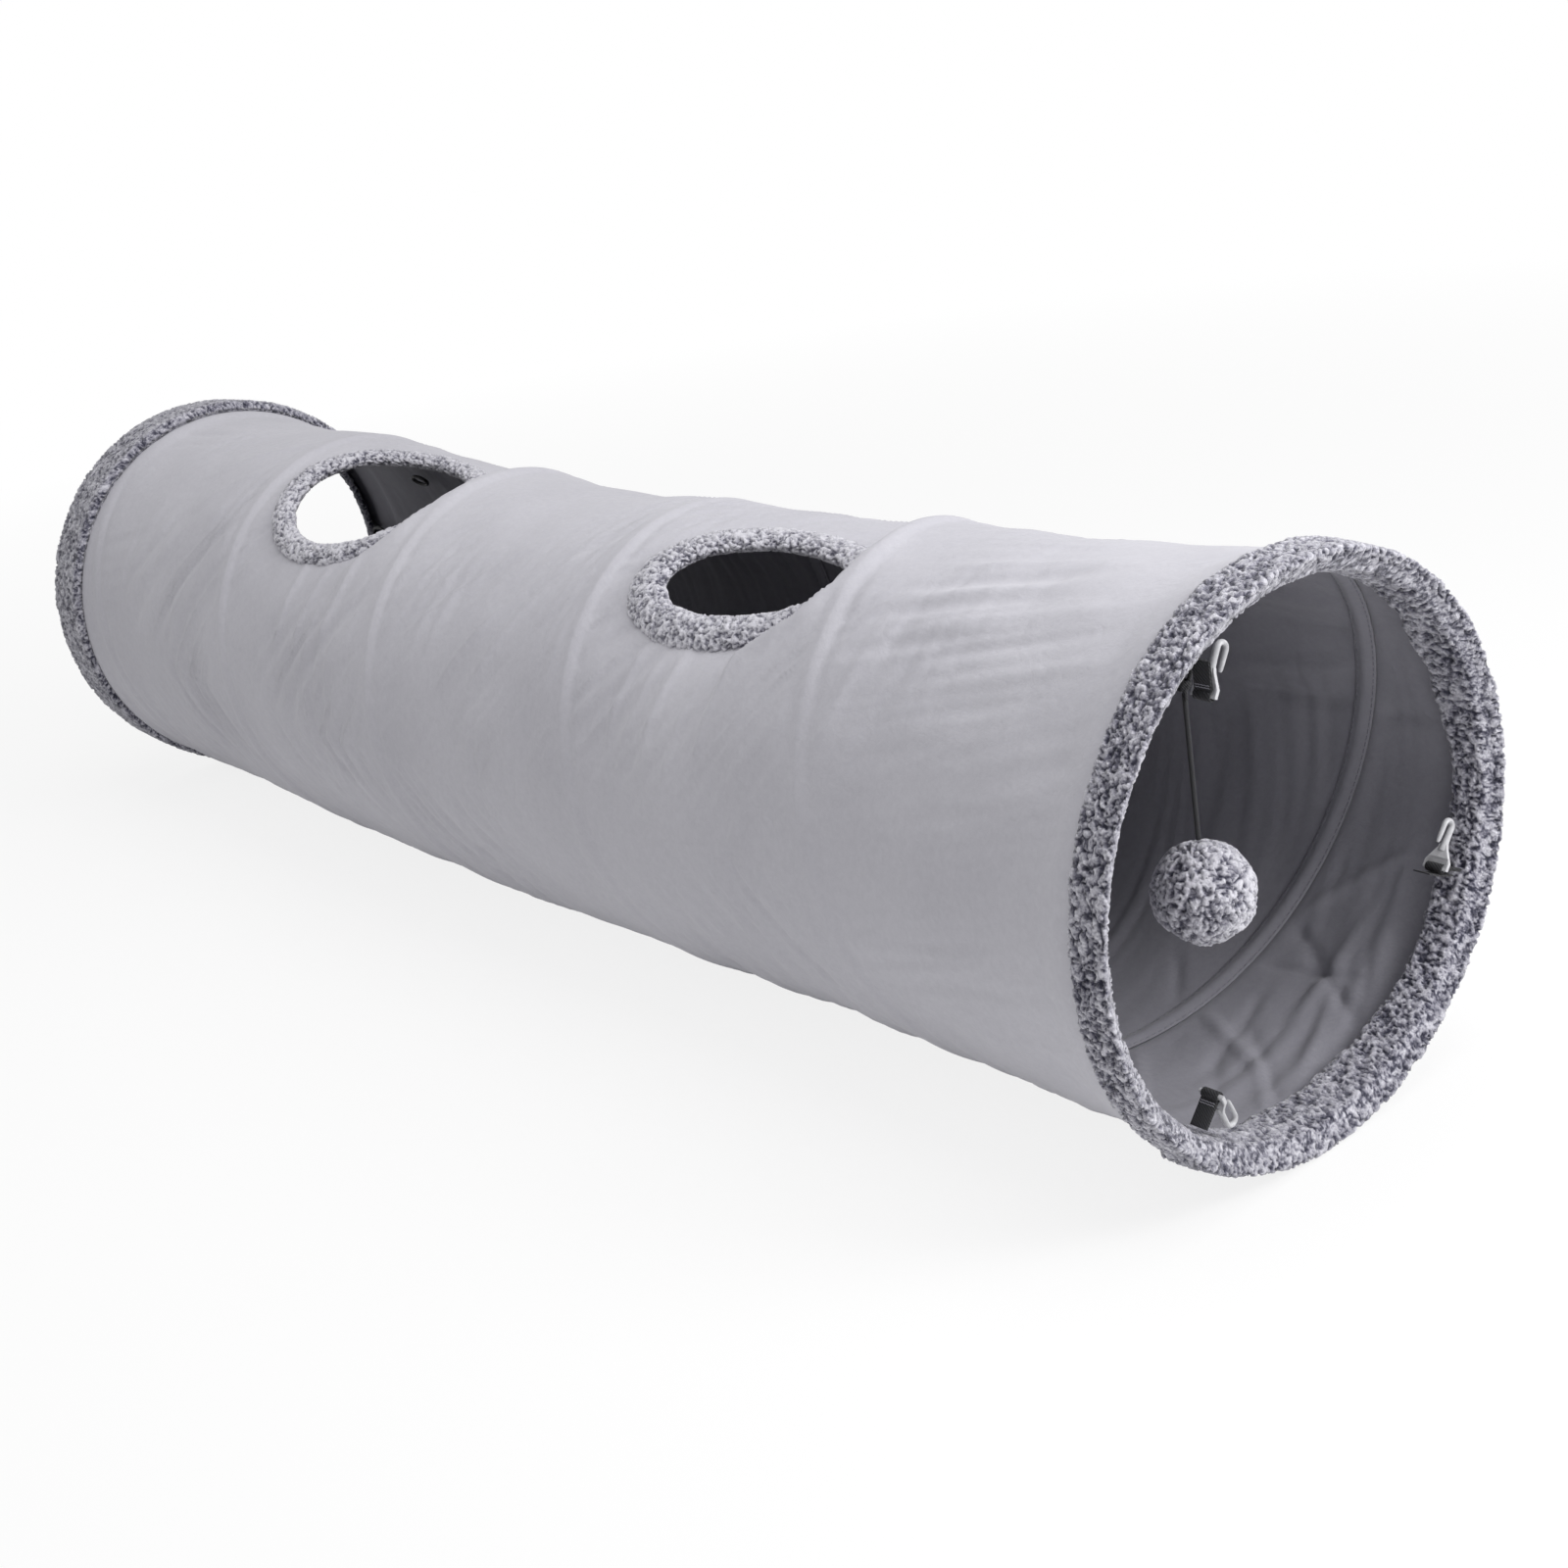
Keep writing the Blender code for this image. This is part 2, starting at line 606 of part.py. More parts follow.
def make_binding(parts, name, side, band_width):
    """Plush tape folded over a mouth: a wide band outside, a web, and a narrow band inside."""
    rounding = BINDING_ROUNDING
    leg_end = MOUTH_X - BINDING_INNER_WIDTH
    band_end = MOUTH_X - band_width
    web = MOUTH_X - BINDING_WEB
    profile = [
        (band_end, BAND_INNER_RADIUS),
        (band_end, RIM_RADIUS - rounding),
        (band_end + rounding, RIM_RADIUS),
        (MOUTH_X - rounding, RIM_RADIUS),
        (MOUTH_X, RIM_RADIUS - rounding),
        (MOUTH_X, RIM_RADIUS - BINDING_LIP_THICKNESS),
        (MOUTH_X - BINDING_LIP_DEPTH, LEG_INNER_RADIUS),
        (leg_end + rounding, LEG_INNER_RADIUS),
        (leg_end, LEG_INNER_RADIUS + rounding),
        (leg_end, LEG_OUTER_RADIUS),
        (web, LEG_OUTER_RADIUS),
        (web, BAND_INNER_RADIUS),
    ]
    mesh = turned_mesh(name, [(side * x, radius) for x, radius in profile])
    smooth_mesh(mesh, SMOOTH_ANGLE_PLUSH)
    add_object(name, mesh, parts, "plush")


def closure_frame(place):
    """Strap root, and its directions: along the strap and across its width."""
    angle = math.radians(CLOSURE_ANGLES[place])
    along_x = Vector((1.0, 0.0, 0.0))
    wall = LEG_INNER_RADIUS * flat_share(math.pi - angle)
    if place == "upper":
        along, across = Vector((0.0, 0.0, -1.0)), along_x
        seat = wall - FIT_GAP - STRAP_THICKNESS / 2.0 * math.cos(angle)
    else:
        along, across = Vector((0.0, math.cos(angle), -math.sin(angle))), -along_x
        seat = wall - FIT_GAP - STRAP_THICKNESS / 2.0 * math.tan(off_middle(math.pi - angle))
    return on_wall(MOUTH_X - CLOSURE_INSETS[place], angle, seat), along, across


def closure_matrix(place):
    """World matrix with X across the strap, Y along it and Z off its face, at the strap's eye."""
    root, along, across = closure_frame(place)
    off_face = across.cross(along)
    eye = root + along * STRAP_LENGTH
    matrix = Matrix((across, along, off_face)).transposed().to_4x4()
    matrix.translation = eye
    return matrix


def eye_radii():
    """Bore and outside radius of the folded eye at a strap's end."""
    bore = math.hypot(HOOK_BAR_HEIGHT / 2.0, HOOK_PLATE_THICKNESS / 2.0) + FIT_GAP
    return bore, bore + STRAP_EYE_WALL


def make_strap(parts, place):
    """A short webbing strap, folded into an eye at its end, drawn from its side."""
    bore, outside = eye_radii()
    half = STRAP_THICKNESS / 2.0
    start = math.asin(half / outside)
    arc_step = (2.0 * math.pi - 2.0 * start) / STRAP_EYE_SIDES
    arc = [start + arc_step * step for step in range(STRAP_EYE_SIDES + 1)]
    outline = [(-STRAP_LENGTH, half)]
    outline += [(-outside * math.cos(angle), outside * math.sin(angle)) for angle in arc]
    outline += [(-STRAP_LENGTH, -half)]
    turns = [2.0 * math.pi * step / STRAP_EYE_SIDES for step in range(STRAP_EYE_SIDES)]
    hole = [(bore * math.cos(turn), bore * math.sin(turn)) for turn in turns]
    mesh = plate_mesh("closure_strap_" + place, [outline, hole], STRAP_WIDTH)
    turn = Matrix(((0.0, 0.0, 1.0), (1.0, 0.0, 0.0), (0.0, 1.0, 0.0))).to_4x4()
    mesh.transform(closure_matrix(place) @ turn)
    smooth_mesh(mesh)
    add_object("closure_strap_" + place, mesh, parts, "webbing")


def make_hook(parts, place):
    """A moulded hook: a slotted plate on the strap's eye, a stem, a bend and a tip."""
    inner_half = STRAP_WIDTH / 2.0 + HOOK_SLOT_SIDE_GAP
    outer_half = inner_half + HOOK_CHEEK
    bar = HOOK_BAR_HEIGHT / 2.0
    slot_top = bar + HOOK_SLOT_HEIGHT
    plate_top = HOOK_PLATE_LENGTH
    neck = HOOK_NECK_WIDTH / 2.0
    outline = [
        (-outer_half, -bar),
        (outer_half, -bar),
        (outer_half, HOOK_SHOULDER_HEIGHT),
        (neck, plate_top),
        (-neck, plate_top),
        (-outer_half, HOOK_SHOULDER_HEIGHT),
    ]
    slot = [(-inner_half, bar), (inner_half, bar), (inner_half, slot_top), (-inner_half, slot_top)]
    mesh = plate_mesh("closure_hook_" + place, [outline, slot], HOOK_PLATE_THICKNESS)
    bend_centre = (-HOOK_BEND_RADIUS, plate_top + HOOK_STEM_LENGTH)
    points = [Vector((0.0, plate_top - neck, 0.0))]
    for step in range(HOOK_BEND_STEPS + 1):
        angle = math.pi * step / HOOK_BEND_STEPS
        points.append(
            Vector((
                0.0,
                bend_centre[1] + HOOK_BEND_RADIUS * math.sin(angle),
                bend_centre[0] + HOOK_BEND_RADIUS * math.cos(angle),
            ))
        )
    points.append(points[-1] - Vector((0.0, HOOK_TIP_LENGTH, 0.0)))
    bend_shares = [1.0 - HOOK_BEND_TAPER * step / HOOK_BEND_STEPS for step in range(HOOK_BEND_STEPS + 1)]
    taper_shares = [1.0, *bend_shares, HOOK_TIP_SHARE]
    stem = tube_mesh("hook_stem", points, HOOK_STEM_RADIUS, resolution=1, radii=taper_shares)
    mesh = boolean(mesh, "UNION", stem)
    lean = math.radians(90.0 + HOOK_LEANS[place])
    item = add_object("closure_hook_" + place, mesh, parts, "hook_plastic")
    item.matrix_world = closure_matrix(place) @ Matrix.Rotation(lean, 4, "X")
    smooth_mesh(mesh)


def oval(length, width):
    """Points of an oval loop in the XY plane, from its root at the origin along +Y."""
    points = []
    for step in range(LOOP_POINTS):
        angle = 2.0 * math.pi * step / LOOP_POINTS
        points.append(Vector((
            (width / 2.0 - LOOP_CORD_RADIUS) * math.sin(angle),
            length / 2.0 - (length / 2.0 - LOOP_CORD_RADIUS) * math.cos(angle),
            0.0,
        )))
    return points


def make_loop(parts, name, root, along, across):
    """An elastic loop lying along the wall, with its sewn end at the root."""
    matrix = Matrix((across, along, across.cross(along))).transposed().to_4x4()
    matrix.translation = root
    points = [matrix @ point for point in oval(LOOP_LENGTH, LOOP_WIDTH)]
    mesh = tube_mesh(name, points, LOOP_CORD_RADIUS, cyclic=True, resolution=1)
    smooth_mesh(mesh)
    add_object(name, mesh, parts, "elastic")


def make_closure_loops(parts):
    for place, strap_angle in CLOSURE_ANGLES.items():
        angle = math.radians(strap_angle + LOOP_ANGLE_OFFSET)
        root = on_wall(BINDING_INNER_WIDTH + FIT_GAP - MOUTH_X, angle, LOOP_SEAT_RADIUS)
        around = Vector((0.0, math.sin(angle), math.cos(angle)))
        make_loop(parts, "closure_loop_" + place, root, Vector((1.0, 0.0, 0.0)), around)


def make_inner_loop(parts):
    """The spare loop on the inside of the wall near the far mouth, lying flat on the cloth."""
    angle = math.radians(INNER_LOOP_ANGLE)
    turn_angle = math.pi - angle
    lowest = min(
        cover_radius(INNER_LOOP_X + share * LOOP_LENGTH, turn_angle) for share in (0.0, 0.5, 1.0)
    )
    radius = (lowest - COVER_THICKNESS) * FLAT_MIDDLE_SHARE - FIT_GAP - LOOP_CORD_RADIUS
    root = on_wall(INNER_LOOP_X, angle, radius)
    around = Vector((0.0, math.sin(angle), math.cos(angle)))
    make_loop(parts, "inner_loop", root, Vector((1.0, 0.0, 0.0)), around)


def toy_pivot():
    return Vector((TOY_X, TOY_Y, AXIS_HEIGHT + TOY_PIVOT_HEIGHT))


def make_toy(parts):
    """Hanger, knot, cord and plush ball; the cord and the ball swing round the knot's centre."""
    pivot = toy_pivot()
    down = Vector((0.0, 0.0, -1.0))
    flat_turn = round(math.acos(TOY_Y / LEG_INNER_RADIUS) / STEP) * STEP
    flat_outward = Vector((0.0, math.cos(flat_turn), math.sin(flat_turn)))
    hanger_x = MOUTH_X - BINDING_INNER_WIDTH + TOY_HANGER_MARGIN
    wall_height = (LEG_INNER_RADIUS * FLAT_MIDDLE_SHARE - TOY_Y * flat_outward.y) / flat_outward.z
    wall_point = Vector((hanger_x, TOY_Y, AXIS_HEIGHT + wall_height))
    lean = (wall_point - pivot).normalized().angle(flat_outward)
    hanger_start = wall_point - flat_outward * (FIT_GAP + TOY_CORD_RADIUS * math.sin(lean))
    hanger_end = pivot + (hanger_start - pivot).normalized() * (TOY_KNOT_RADIUS + FIT_GAP)
    hanger = tube_mesh("toy_hanger", [hanger_start, hanger_end], TOY_CORD_RADIUS, resolution=2)
    smooth_mesh(hanger)
    add_object("toy_hanger", hanger, parts, "elastic")

    work = bmesh.new()
    bmesh.ops.create_uvsphere(work, u_segments=12, v_segments=8, radius=TOY_KNOT_RADIUS)
    knot = add_object("toy_knot", mesh_from_bmesh("toy_knot", work), parts, "elastic")
    smooth_mesh(knot.data)
    knot.location = pivot

    swing = bpy.data.objects.new("toy_swing_axis", None)
    parts.objects.link(swing)
    swing.location = pivot
    start = down * (TOY_KNOT_RADIUS + FIT_GAP)
    end = down * (TOY_BALL_DROP - TOY_BALL_RADIUS - FIT_GAP)
    points = [start.lerp(end, step / (TOY_CORD_POINTS - 1.0)) for step in range(TOY_CORD_POINTS)]
    cord_mesh = tube_mesh("toy_cord", points, TOY_CORD_RADIUS, resolution=2)
    smooth_mesh(cord_mesh)
    cord = add_object("toy_cord", cord_mesh, parts, "elastic")
    cord.parent = swing

    work = bmesh.new()
    bmesh.ops.create_icosphere(work, subdivisions=3, radius=TOY_BALL_RADIUS)
    ball = add_object("toy_ball", mesh_from_bmesh("toy_ball", work), parts, "plush")
    smooth_mesh(ball.data)
    ball.parent = swing
    ball.location = down * TOY_BALL_DROP


def main():
    clear_scene()
    parts = make_collection("collapsible_cat_tunnel")
    near_x = hole_place(NEAR_HOLE_SECTION, NEAR_HOLE_OFFSET)
    far_x = hole_place(FAR_HOLE_SECTION, FAR_HOLE_OFFSET)
    near_hole = (near_x, NEAR_HOLE_ANGLE, NEAR_HOLE_HALF_LENGTH, NEAR_HOLE_HALF_ARC)
    far_hole = (far_x, FAR_HOLE_ANGLE, FAR_HOLE_HALF_LENGTH, FAR_HOLE_HALF_ARC)
    make_wire(parts)
    make_tape(parts)
    holes = {NEAR_HOLE_SECTION: [near_hole], FAR_HOLE_SECTION: [far_hole]}
    for number in range(1, SECTION_COUNT + 1):
        make_section(parts, number, holes.get(number, []))
    make_trim(parts, "peephole_trim_near", *near_hole)
    make_trim(parts, "peephole_trim_far", *far_hole)
    for word, side, band in (("near", 1, NEAR_BAND_WIDTH), ("far", -1, FAR_BAND_WIDTH)):
        make_hoop(parts, word + "_hoop", side)
        make_ferrule(parts, word + "_ferrule", side)
        make_binding(parts, word + "_binding", side, band)
    for place in CLOSURE_ANGLES:
        make_strap(parts, place)
        make_hook(parts, place)
    make_closure_loops(parts)
    make_inner_loop(parts)
    make_toy(parts)


main()
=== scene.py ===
"""Looks of the collapsible cat tunnel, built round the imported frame.

The cloth is one sheet with a ridge over the spring wire, slack between the turns, drag folds and
a body that rests on the floor between its two stiff mouths. Bindings, hole rims and the ball are
curly plush with real bumps. Turn angles run round the tunnel's axis from +Y towards +Z, and front
angles from -Y towards +Z, as in the CAD.
"""

import json
import math

import bmesh
import bpy
import numpy as np
from mathutils import Matrix, Vector, noise


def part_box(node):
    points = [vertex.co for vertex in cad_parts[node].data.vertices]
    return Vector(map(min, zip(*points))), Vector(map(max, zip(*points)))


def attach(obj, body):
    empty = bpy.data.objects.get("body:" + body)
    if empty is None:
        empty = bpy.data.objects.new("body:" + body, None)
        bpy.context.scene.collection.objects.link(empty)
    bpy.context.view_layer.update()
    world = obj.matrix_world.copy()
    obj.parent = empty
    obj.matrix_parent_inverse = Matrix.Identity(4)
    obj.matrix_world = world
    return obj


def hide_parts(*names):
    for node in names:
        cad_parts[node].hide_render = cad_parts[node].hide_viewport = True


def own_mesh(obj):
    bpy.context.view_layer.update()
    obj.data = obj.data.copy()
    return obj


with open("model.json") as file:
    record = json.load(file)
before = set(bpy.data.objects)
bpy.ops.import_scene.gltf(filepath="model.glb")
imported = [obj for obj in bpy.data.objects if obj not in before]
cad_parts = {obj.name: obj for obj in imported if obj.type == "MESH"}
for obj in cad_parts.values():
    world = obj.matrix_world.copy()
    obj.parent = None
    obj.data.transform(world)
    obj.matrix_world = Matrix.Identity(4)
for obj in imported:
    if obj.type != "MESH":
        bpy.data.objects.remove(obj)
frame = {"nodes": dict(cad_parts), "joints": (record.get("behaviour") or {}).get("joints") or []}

# A fixed seed, so that the plush's vector noise gives the same curls each run
noise.seed_set(1)

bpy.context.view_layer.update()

# Frame measures
RIM_LOW, RIM_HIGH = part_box("near_binding")
FAR_LOW, FAR_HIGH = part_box("far_binding")
MOUTH_X = RIM_HIGH[0]
AXIS_Z = (RIM_LOW[2] + RIM_HIGH[2]) / 2.0
NEAR_BAND_WIDTH = RIM_HIGH[0] - RIM_LOW[0]
FAR_BAND_WIDTH = FAR_HIGH[0] - FAR_LOW[0]
JOINTS = {joint["name"]: joint for joint in frame["joints"]}

# Sizes repeated from the CAD, in metres
BODY_RADIUS = 0.150
RIM_RADIUS = 0.157
WIRE_RADIUS = 0.00125
WIRE_DEPTH = 0.00275
HELIX_END_X = 0.5869
HELIX_TURNS = 5.125
HELIX_END_ANGLE = math.radians(472.5)
PITCH = 2.0 * HELIX_END_X / HELIX_TURNS
HOOP_X = 0.590
COVER_END_X = 0.5942
BAND_INNER_RADIUS = 0.1511
LEG_OUTER_RADIUS = 0.1444
LEG_INNER_RADIUS = 0.1399
BINDING_WEB = 0.0055
BINDING_NOSE = 0.0010
BINDING_LIP_DEPTH = 0.0094
BINDING_LIP_RADIUS = 0.1424
CLOTH_THICKNESS = 0.0009
TAPE_THICKNESS = 0.0005
TAPE_SHORT = 0.26
STITCHES_SHORT = 0.30
STITCH_SPACING = 0.0042
STITCH_ROW = 0.0050
STITCH_DEPTH = 0.0027
STITCH_LENGTH = 0.0030
STITCH_RADIUS = 0.0003
FLARE_MARGIN = 0.001
FLARE_LENGTH = 0.020
FLARE_PRESS = 0.0004
STRAP_LENGTH = 0.017
STRAP_WIDTH = 0.010
STRAP_EYE_BORE = 0.0018
STRAP_LAYER = 0.0008
STRAP_TAILS = {"back": 0.012}
HOOK_LEANS = {"upper": 60.0, "back": 18.0, "lower": 26.0}
HOOK_PLATE_THICKNESS = 0.0022
HOOK_BAR_HALF = 0.0010
HOOK_SLOT_HALF = 0.0057
HOOK_SLOT_HEIGHT = 0.0042
HOOK_CHEEK = 0.0016
HOOK_SHOULDER = 0.0034
HOOK_PLATE_LENGTH = 0.013
HOOK_NECK_HALF = 0.0023
HOOK_STEM_RADIUS = 0.0015
HOOK_STEM_SPREAD = 1.3
HOOK_STEM_LENGTH = 0.009
HOOK_BEND_RADIUS = 0.0034
HOOK_TIP_LENGTH = 0.010
CLOSURE_FRONTS = {"upper": 64.0, "back": 204.0, "lower": -48.0}
LOOP_FRONT_OFFSET = -26.0
LOOP_ROOT_INSET = 0.0243
LOOP_LENGTH = 0.024
LOOP_WIDTH = 0.013
LOOP_RADIUS = 0.0015
LOOP_SEAT_DEPTH = 0.001
LOOP_STEPS = 48
HANGER_RADIUS = 0.0011
HANGER_SPREAD = 0.0034
KNOT_WRAP = 0.0026
KNOT_STRAND = 0.0013

# Peep holes: middle along X, front angle, half length, half arc; the long axes lean square to
# the wire
HOLES = {
    "near": (0.2455, 70.5, 0.0895, 0.064),
    "far": (-0.2125, 77.0, 0.091, 0.082),
}
HOLE_LEAN = math.radians(14.0)
TRIM_WIDTHS = {"near": 0.026, "far": 0.019}
TRIM_THICKNESS = 0.011
TRIM_STIFFNESS = 0.55

# Front angle and x of the cloth's crest that stands before each hole's near end
CRESTS = {
    "near": [(46, 0.293), (52, 0.309), (57, 0.323), (66, 0.333), (84, 0.331), (100, 0.318)],
    "far": [(48, -0.146), (54, -0.134), (62, -0.121), (75, -0.115), (86, -0.119), (98, -0.128)],
}
CREST_LIFT = 0.0028
CREST_WIDTHS = {"near": 0.011, "far": 0.010}
HOLE_SINK = {"near": 0.0235, "far": 0.0145}
SINK_REACH = {"near": 1.42, "far": 1.22}
SINK_LEAD = 0.035
SINK_LEAD_RUN = 0.045
SINK_SHALLOW = 0.14
SINK_POWER = 1.5
CREST_SET_BACK = 0.002
CREST_SPREAD = 0.012

# Slack of the cloth between two turns of the wire
SAG_TOP = 0.0036
SAG_SIDE = 0.0020
SAG_BOTTOM = 0.0010
SAG_POWER = 2.2
SLACK_START = 0.005
SLACK_RUN = 0.013
RIDGE_LIFT = 0.0008
RIDGE_HALF_WIDTH = 0.0058
SEAM_OFFSET = 0.0095
SEAM_DEPTH = 0.0006
SEAM_HALF_WIDTH = 0.0034

# How the body rests between its mouths: x, then how far its axis drops, its half height grows,
# its half width grows, and its turns of wire stand towards +X
RESTING = [
    (-0.575, 0.0000, 0.0000, 0.0000, 0.000),
    (-0.480, 0.0030, -0.0005, 0.0010, 0.004),
    (-0.360, 0.0045, -0.0010, 0.0030, 0.010),
    (-0.250, 0.0085, -0.0035, 0.0050, 0.006),
    (-0.130, 0.0122, -0.0072, 0.0070, 0.001),
    (0.000, 0.0130, -0.0080, 0.0050, 0.002),
    (0.100, 0.0116, -0.0066, 0.0010, 0.002),
    (0.210, 0.0085, -0.0052, -0.0020, -0.004),
    (0.330, 0.0055, -0.0047, -0.0040, -0.014),
    (0.450, 0.0025, -0.0030, -0.0035, -0.014),
    (0.520, 0.0008, -0.0010, -0.0010, -0.002),
    (0.575, 0.0000, 0.0000, 0.0000, 0.000),
]
RESTING_END = 0.70
RESTING_STEP = 0.005
RESTING_BLUR = 12
UNSHIFT_ROUNDS = 6
FLOOR_GAP = 0.0005

# Drag folds: x and front angle of both ends, height outwards, half width
FOLDS = [
    (0.208, 44, 0.202, 20, 0.0022, 0.0036),
    (0.244, 43, 0.237, 16, 0.0024, 0.0038),
    (0.290, 44, 0.283, 18, 0.0020, 0.0036),
    (0.226, 40, 0.214, 10, 0.0013, 0.0032),
    (0.268, 40, 0.256, 8, 0.0013, 0.0032),
    (-0.202, 46, -0.206, 18, 0.0020, 0.0036),
    (-0.174, 46, -0.177, 20, 0.0020, 0.0036),
    (-0.136, 52, -0.142, 18, 0.0018, 0.0036),
    (-0.156, 46, -0.160, 10, 0.0013, 0.0032),
    (0.090, 66, 0.052, 46, 0.0019, 0.0038),
    (0.052, 46, 0.012, 22, 0.0022, 0.0038),
    (0.082, 52, 0.048, 24, 0.0018, 0.0040),
    (0.030, 62, -0.010, 40, -0.0012, 0.0050),
    (-0.422, 63, -0.343, 90, 0.0014, 0.0045),
    (-0.400, 52, -0.330, 78, 0.0014, 0.0045),
    (-0.365, 50, -0.305, 72, 0.0012, 0.0045),
    (0.400, 66, 0.490, 77, 0.0012, 0.0050),
    (0.430, 60, 0.545, 72, 0.0012, 0.0050),
    (0.445, 54, 0.555, 66, -0.0010, 0.0050),
    (0.405, 78, 0.500, 88, 0.0012, 0.0050),
    (0.455, 47, 0.560, 58, 0.0010, 0.0050),
    (0.398, 56, 0.380, 28, 0.0012, 0.0050),
    (0.425, 50, 0.410, 20, -0.0010, 0.0055),
    (0.546, 204, 0.512, 214, -0.0024, 0.0034),
    (0.512, 214, 0.474, 228, -0.0026, 0.0036),
    (0.490, 224, 0.560, 243, 0.0026, 0.0036),
    (0.533, 219, 0.520, 247, -0.0024, 0.0034),
    (0.530, 232, 0.552, 262, -0.0022, 0.0032),
    (0.458, 249, 0.535, 262, -0.0024, 0.0034),
    (0.494, 243, 0.502, 270, 0.0022, 0.0032),
    (0.440, 262, 0.500, 285, -0.0018, 0.0032),
    (0.470, 236, 0.545, 232, 0.0018, 0.0030),
    (0.505, 252, 0.560, 270, 0.0020, 0.0032),
    (0.520, 258, 0.572, 280, -0.0018, 0.0030),
    (0.545, 226, 0.560, 250, 0.0018, 0.0030),
    (0.430, 240, 0.470, 262, 0.0018, 0.0036),
    (0.500, 262, 0.560, 292, 0.0016, 0.0034),
    (0.452, 172, 0.572, 174, 0.0030, 0.0050),
    (0.430, 166, 0.540, 163, -0.0018, 0.0060),
    (0.470, 150, 0.560, 156, 0.0018, 0.0060),
    (0.440, 140, 0.540, 146, -0.0018, 0.0060),
]

# Width of each binding's inner leg by front angle, from the photograph
NEAR_LEG = [
    (0, 0.025), (60, 0.019), (90, 0.019), (110, 0.029), (150, 0.033),
    (180, 0.027), (225, 0.029), (270, 0.037), (315, 0.031), (360, 0.024),
]
FAR_LEG = [(0, 0.024), (180, 0.022), (360, 0.024)]
LEG_DRAWN = 0.026

# How much narrower each binding's outer band is by front angle, and how far the far one puffs up
NEAR_NARROWING = [(0, 0.0075), (45, 0.0045), (75, 0.0), (250, 0.0), (290, 0.0040), (360, 0.0075)]
FAR_NARROWING = [(0, 0.0), (360, 0.0)]
FAR_PUFF = 0.0035

# Where the near binding's end laps over its start
OVERLAP_FRONT = -46.0
OVERLAP_EDGE = 1.2
OVERLAP_LENGTH = 34.0
OVERLAP_LIFT = 0.0022

# Camera, fitted to the photograph
CAMERA_PLACE = Vector((1.2145, -0.7626, 0.6101))
CAMERA_AZIMUTH = math.radians(53.64)
CAMERA_ELEVATION = math.radians(21.11)
CAMERA_ROLL = math.radians(-9.65)
CAMERA_LENS = 50.0

FLOOR_RADIUS = 30.0
WORLD_STRENGTH = 0.43

# Drag lines: gap between two, run of one, and height
ROUND_LINES = (0.014, 0.17, 0.0026)
FINE_LINES = (0.008, 0.07, 0.0008)
SLANTING_LINES = (0.012, 0.20, 0.0026)
LENGTHWISE_LINES = (0.012, 0.12, 0.0015)
CRUMPLE_SIZE = 0.045
CRUMPLE_HEIGHT = 0.0016

# Slope of the leaning lines, the turn angle round which they show, and how the lengthwise ones
# turn along the tunnel, in radians per metre
LEAN_SLOPE = 0.8
LEAN_MIDDLE = 2.2
LENGTHWISE_SPIN = 2.0

# Pile of the plush: curls and gaps per metre, and how far the curls stand up
PILE_CURLS = 330.0
PILE_BENDS = 210.0
PILE_PATCHES = 240.0
PILE_HAIRS = 620.0
PILE_LUMPS = 80.0
PILE_MIDDLE = 0.55
PILE_DEPTH = 0.0030
TRIM_PILE_DEPTH = 0.0028
BALL_PILE = 0.0022
BALL_LUMPS = 0.0009

# Mesh density
COVER_COLUMNS = 360
COVER_ROWS_BY_WIRE = [0.0012, 0.0024, 0.0036, 0.0046, 0.0056, 0.0066, 0.0080]
COVER_ROWS_BETWEEN = 82
COVER_TURNS = 9
NEAR_BINDING_STEP = 0.0010
FAR_BINDING_STEP = 0.0014
TRIM_STEPS = 400
TRIM_SIDES = 60
WIRE_STEPS = 900
WIRE_SIDES = 8
TAPE_STEPS = 1100


# Small helpers

def around_axis(x, turn, radius):
    return Vector((x, radius * math.cos(turn), AXIS_Z + radius * math.sin(turn)))


def turn_of(front):
    """Turn angle of a front angle in degrees."""
    return math.radians(180.0 - front)


def linked(name, data):
    """A new object in the scene."""
    item = bpy.data.objects.new(name, data)
    bpy.context.scene.collection.objects.link(item)
    return item


def add_item(name, mesh, material):
    item = linked(name, mesh)
    mesh.materials.clear()
    mesh.materials.append(material)
    mesh.shade_smooth()
    return item


def mesh_object(name, points, faces, material):
    mesh = bpy.data.meshes.new(name)
    mesh.from_pydata([tuple(map(float, p)) for p in points], [], faces)
    mesh.validate()
    return add_item(name, mesh, material)


def apply_modifiers(item):
    """Bake an object's modifiers into its mesh."""
    bpy.context.view_layer.update()
    evaluated = item.evaluated_get(bpy.context.evaluated_depsgraph_get())
    mesh = bpy.data.meshes.new_from_object(evaluated)
    item.modifiers.clear()
    old = item.data
    item.data = mesh
    bpy.data.meshes.remove(old)
    return item


def turn_faces_out(item, loose=False):
    """Turn faces outwards, and where loose is set drop points that no face uses."""
    work = bmesh.new()
    work.from_mesh(item.data)
    if loose:
        unused = [vert for vert in work.verts if not vert.link_faces]
        bmesh.ops.delete(work, geom=unused, context="VERTS")
    bmesh.ops.recalc_face_normals(work, faces=work.faces)
    work.to_mesh(item.data)
    work.free()


def tube_faces(count, sides, closed=False):
    """Faces of a tube whose rings of points follow each other."""
    faces = []
    for step in range(count if closed else count - 1):
        here, there = step * sides, (step + 1) % count * sides
        for side in range(sides):
            after = (side + 1) % sides
            faces.append((here + side, there + side, there + after, here + after))
    if not closed:
        faces.append(tuple(range(sides)))
        faces.append(tuple(reversed(range((count - 1) * sides, count * sides))))
    return faces


